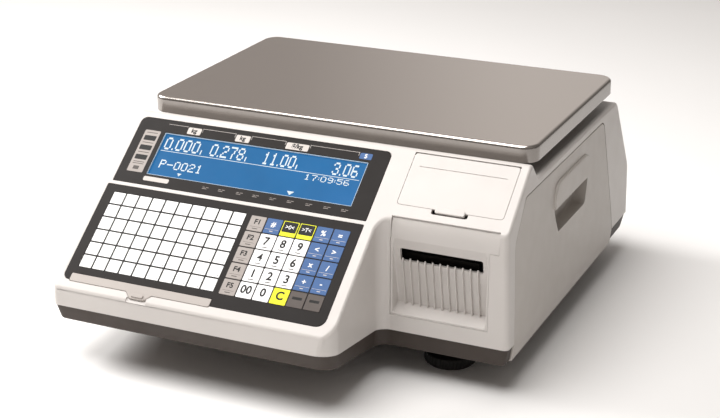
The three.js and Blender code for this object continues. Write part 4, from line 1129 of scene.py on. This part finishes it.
# ---- levelling feet
def levelling_foot(index):
    low, high = box_mm(f"levelling_foot_{index}")
    x, y = (low.x + high.x) / 2, (low.y + high.y) / 2
    count = FOOT_LOBES * FOOT_STEPS
    bm = bmesh.new()
    loops = []
    for radius, z, knurl in FOOT_PROFILE:
        loop = []
        for k in range(count):
            angle = 2 * math.pi * k / count
            reach = radius - knurl * FOOT_KNURL * (1 - math.cos(angle * FOOT_LOBES))
            loop.append((x + reach * math.cos(angle), y + reach * math.sin(angle), z))
        loops.append(loop)
    add_loft(bm, loops)
    made = new_object(f"foot_knob_{index}", bm)
    piece(made, f"foot_{index}", "black_rubber", RUBBER, f"levelling_foot_{index}")


# ---- nodes that keep their CAD shape
KEPT = [
    (STEEL, "door_pin_front door_pin_rear lid_hinge_pin"),
    # The print head and peel bar are darkened as painted shade for the slot they sit in.
    (PAINTED_SHADE_STEEL, "print_head peel_bar"),
    (ALUMINIUM, "platter_support load_cell"),
    (ZINC, "load_cell_plate load_cell_bolt_1 load_cell_bolt_2 printer_frame stepper_motor head_bracket"),
    (ZINC, "power_supply port_block casing_screw_1 casing_screw_2 casing_screw_3 casing_screw_4"),
    (CIRCUIT, "lcd_board keypad_circuit main_board"),
    (NYLON, "motor_pinion platen_gear"),
    (GREY_PLASTIC, "takeup_spool roll_hub"),
    (BLACK, "mains_inlet switch_housing"),
    (RUBBER, "platen_roller drive_belt power_rocker"),
    (RUBBER, "support_pad_1 support_pad_2 support_pad_3 support_pad_4"),
    (PAPER, "label_roll"),
    (KRAFT, "roll_core"),
    (VIAL, "bubble_level"),
]
BEVELLED = """
platter_support load_cell load_cell_plate printer_frame stepper_motor head_bracket print_head takeup_spool
roll_hub mains_inlet port_block switch_housing power_rocker power_supply bubble_level
""".split()


def dress_kept_nodes():
    """Gives finishes to the nodes that show their CAD mesh; a modifier eases the edges of some."""
    for name, finish in [(name, finish) for finish, names in KEPT for name in names.split()]:
        node = NODES[name]
        node.data.materials.clear()
        node.data.materials.append(finish)
        node.data.shade_smooth()
        node.data.set_sharp_from_angle(angle=math.radians(30))
        if name in BEVELLED:
            edge = node.modifiers.new("edges", "BEVEL")
            edge.width = 0.25 * MM
            edge.segments = 2
            edge.limit_method = "ANGLE"
            edge.angle_limit = math.radians(40)
            edge.use_clamp_overlap = True


# ---- floor, light and camera
def studio_air(tree):
    """A dim warm surround, with a paler side behind the object that the platter mirrors."""
    air = Nodes(tree)
    way = air.parts(air.coordinates("Generated"))
    lean = air.remap(air.combine("DIVIDE", way["X"], way["Y"]), -0.6, 0.4)
    wall = air.node("ShaderNodeValToRGB")
    stops = wall.color_ramp.elements
    stops[0].position = 0.1
    stops[0].color = (0.36, 0.33, 0.31, 1)
    stops[1].position = 0.26
    stops[1].color = (0.66, 0.62, 0.59, 1)
    stops.new(0.6).color = (0.5, 0.47, 0.45, 1)
    stops.new(0.9).color = (0.16, 0.15, 0.14, 1)
    air.link(lean, wall.inputs["Fac"])
    mix = air.mix(air.remap(way["Y"], -0.1, 0.1))
    mix.inputs[6].default_value = (0.24, 0.222, 0.208, 1)
    air.link(wall.outputs["Color"], mix.inputs[7])
    background = tree.nodes["Background"]
    air.link(mix.outputs[2], background.inputs["Color"])
    background.inputs["Strength"].default_value = 1.0


def studio():
    bm = bmesh.new()
    ends = ((-1, -1), (1, -1), (1, 1), (-1, 1))
    bm.faces.new([bm.verts.new((a * FLOOR_REACH, b * FLOOR_REACH, 0)) for a, b in ends])
    floor = new_object("studio_floor", bm)
    made = Finish("studio_floor", specular=0.2)
    made.paint(made.ramp(made.noise(3, 2), colour(250, 249, 248), colour(252, 251, 250)))
    made.rough(made.noise(20, 3), 0.7, 0.8)
    floor.data.materials.append(made.material)
    world = bpy.data.worlds.new("studio")
    bpy.context.scene.world = world
    world.use_nodes = True
    studio_air(world.node_tree)
    for name, place, target, size, power in LAMPS:
        lamp = bpy.data.lights.new(name, "AREA")
        lamp.shape = "DISK"
        lamp.size = size
        lamp.energy = power
        lamp.color = (1.0, 0.985, 0.97)
        holder = bpy.data.objects.new(name, lamp)
        holder.location = place
        holder.rotation_euler = (Vector(target) - Vector(place)).to_track_quat("-Z", "Y").to_euler()
        bpy.context.scene.collection.objects.link(holder)
    bpy.context.scene.view_settings.view_transform = "Standard"


def camera():
    across, level = math.cos(CAMERA_ELEVATION), math.sin(CAMERA_ELEVATION)
    back = Vector((math.sin(CAMERA_AZIMUTH) * across, -math.cos(CAMERA_AZIMUTH) * across, level))
    target = Vector((*CAMERA_TARGET, CAD_BOX[1].z - TARGET_DROP))
    lens = bpy.data.cameras.new("camera")
    lens.lens = CAMERA_LENS
    lens.sensor_width = 36
    lens.clip_start = 0.05
    lens.clip_end = 50
    holder = bpy.data.objects.new("camera", lens)
    holder.location = target + back * CAMERA_DISTANCE
    holder.rotation_euler = (-back).to_track_quat("-Z", "Y").to_euler()
    bpy.context.scene.collection.objects.link(holder)
    bpy.context.scene.camera = holder


camera()
upper_casing()
base_tray()
side_door()
display_panel()
keypad_panel()
preset_keys()
function_keys()
panel_print()
operator_screen()
customer_screen()
card_flap()
printer_lid()
label_outlet()
platter()
for number in range(1, 5):
    levelling_foot(number)
dress_kept_nodes()
studio()
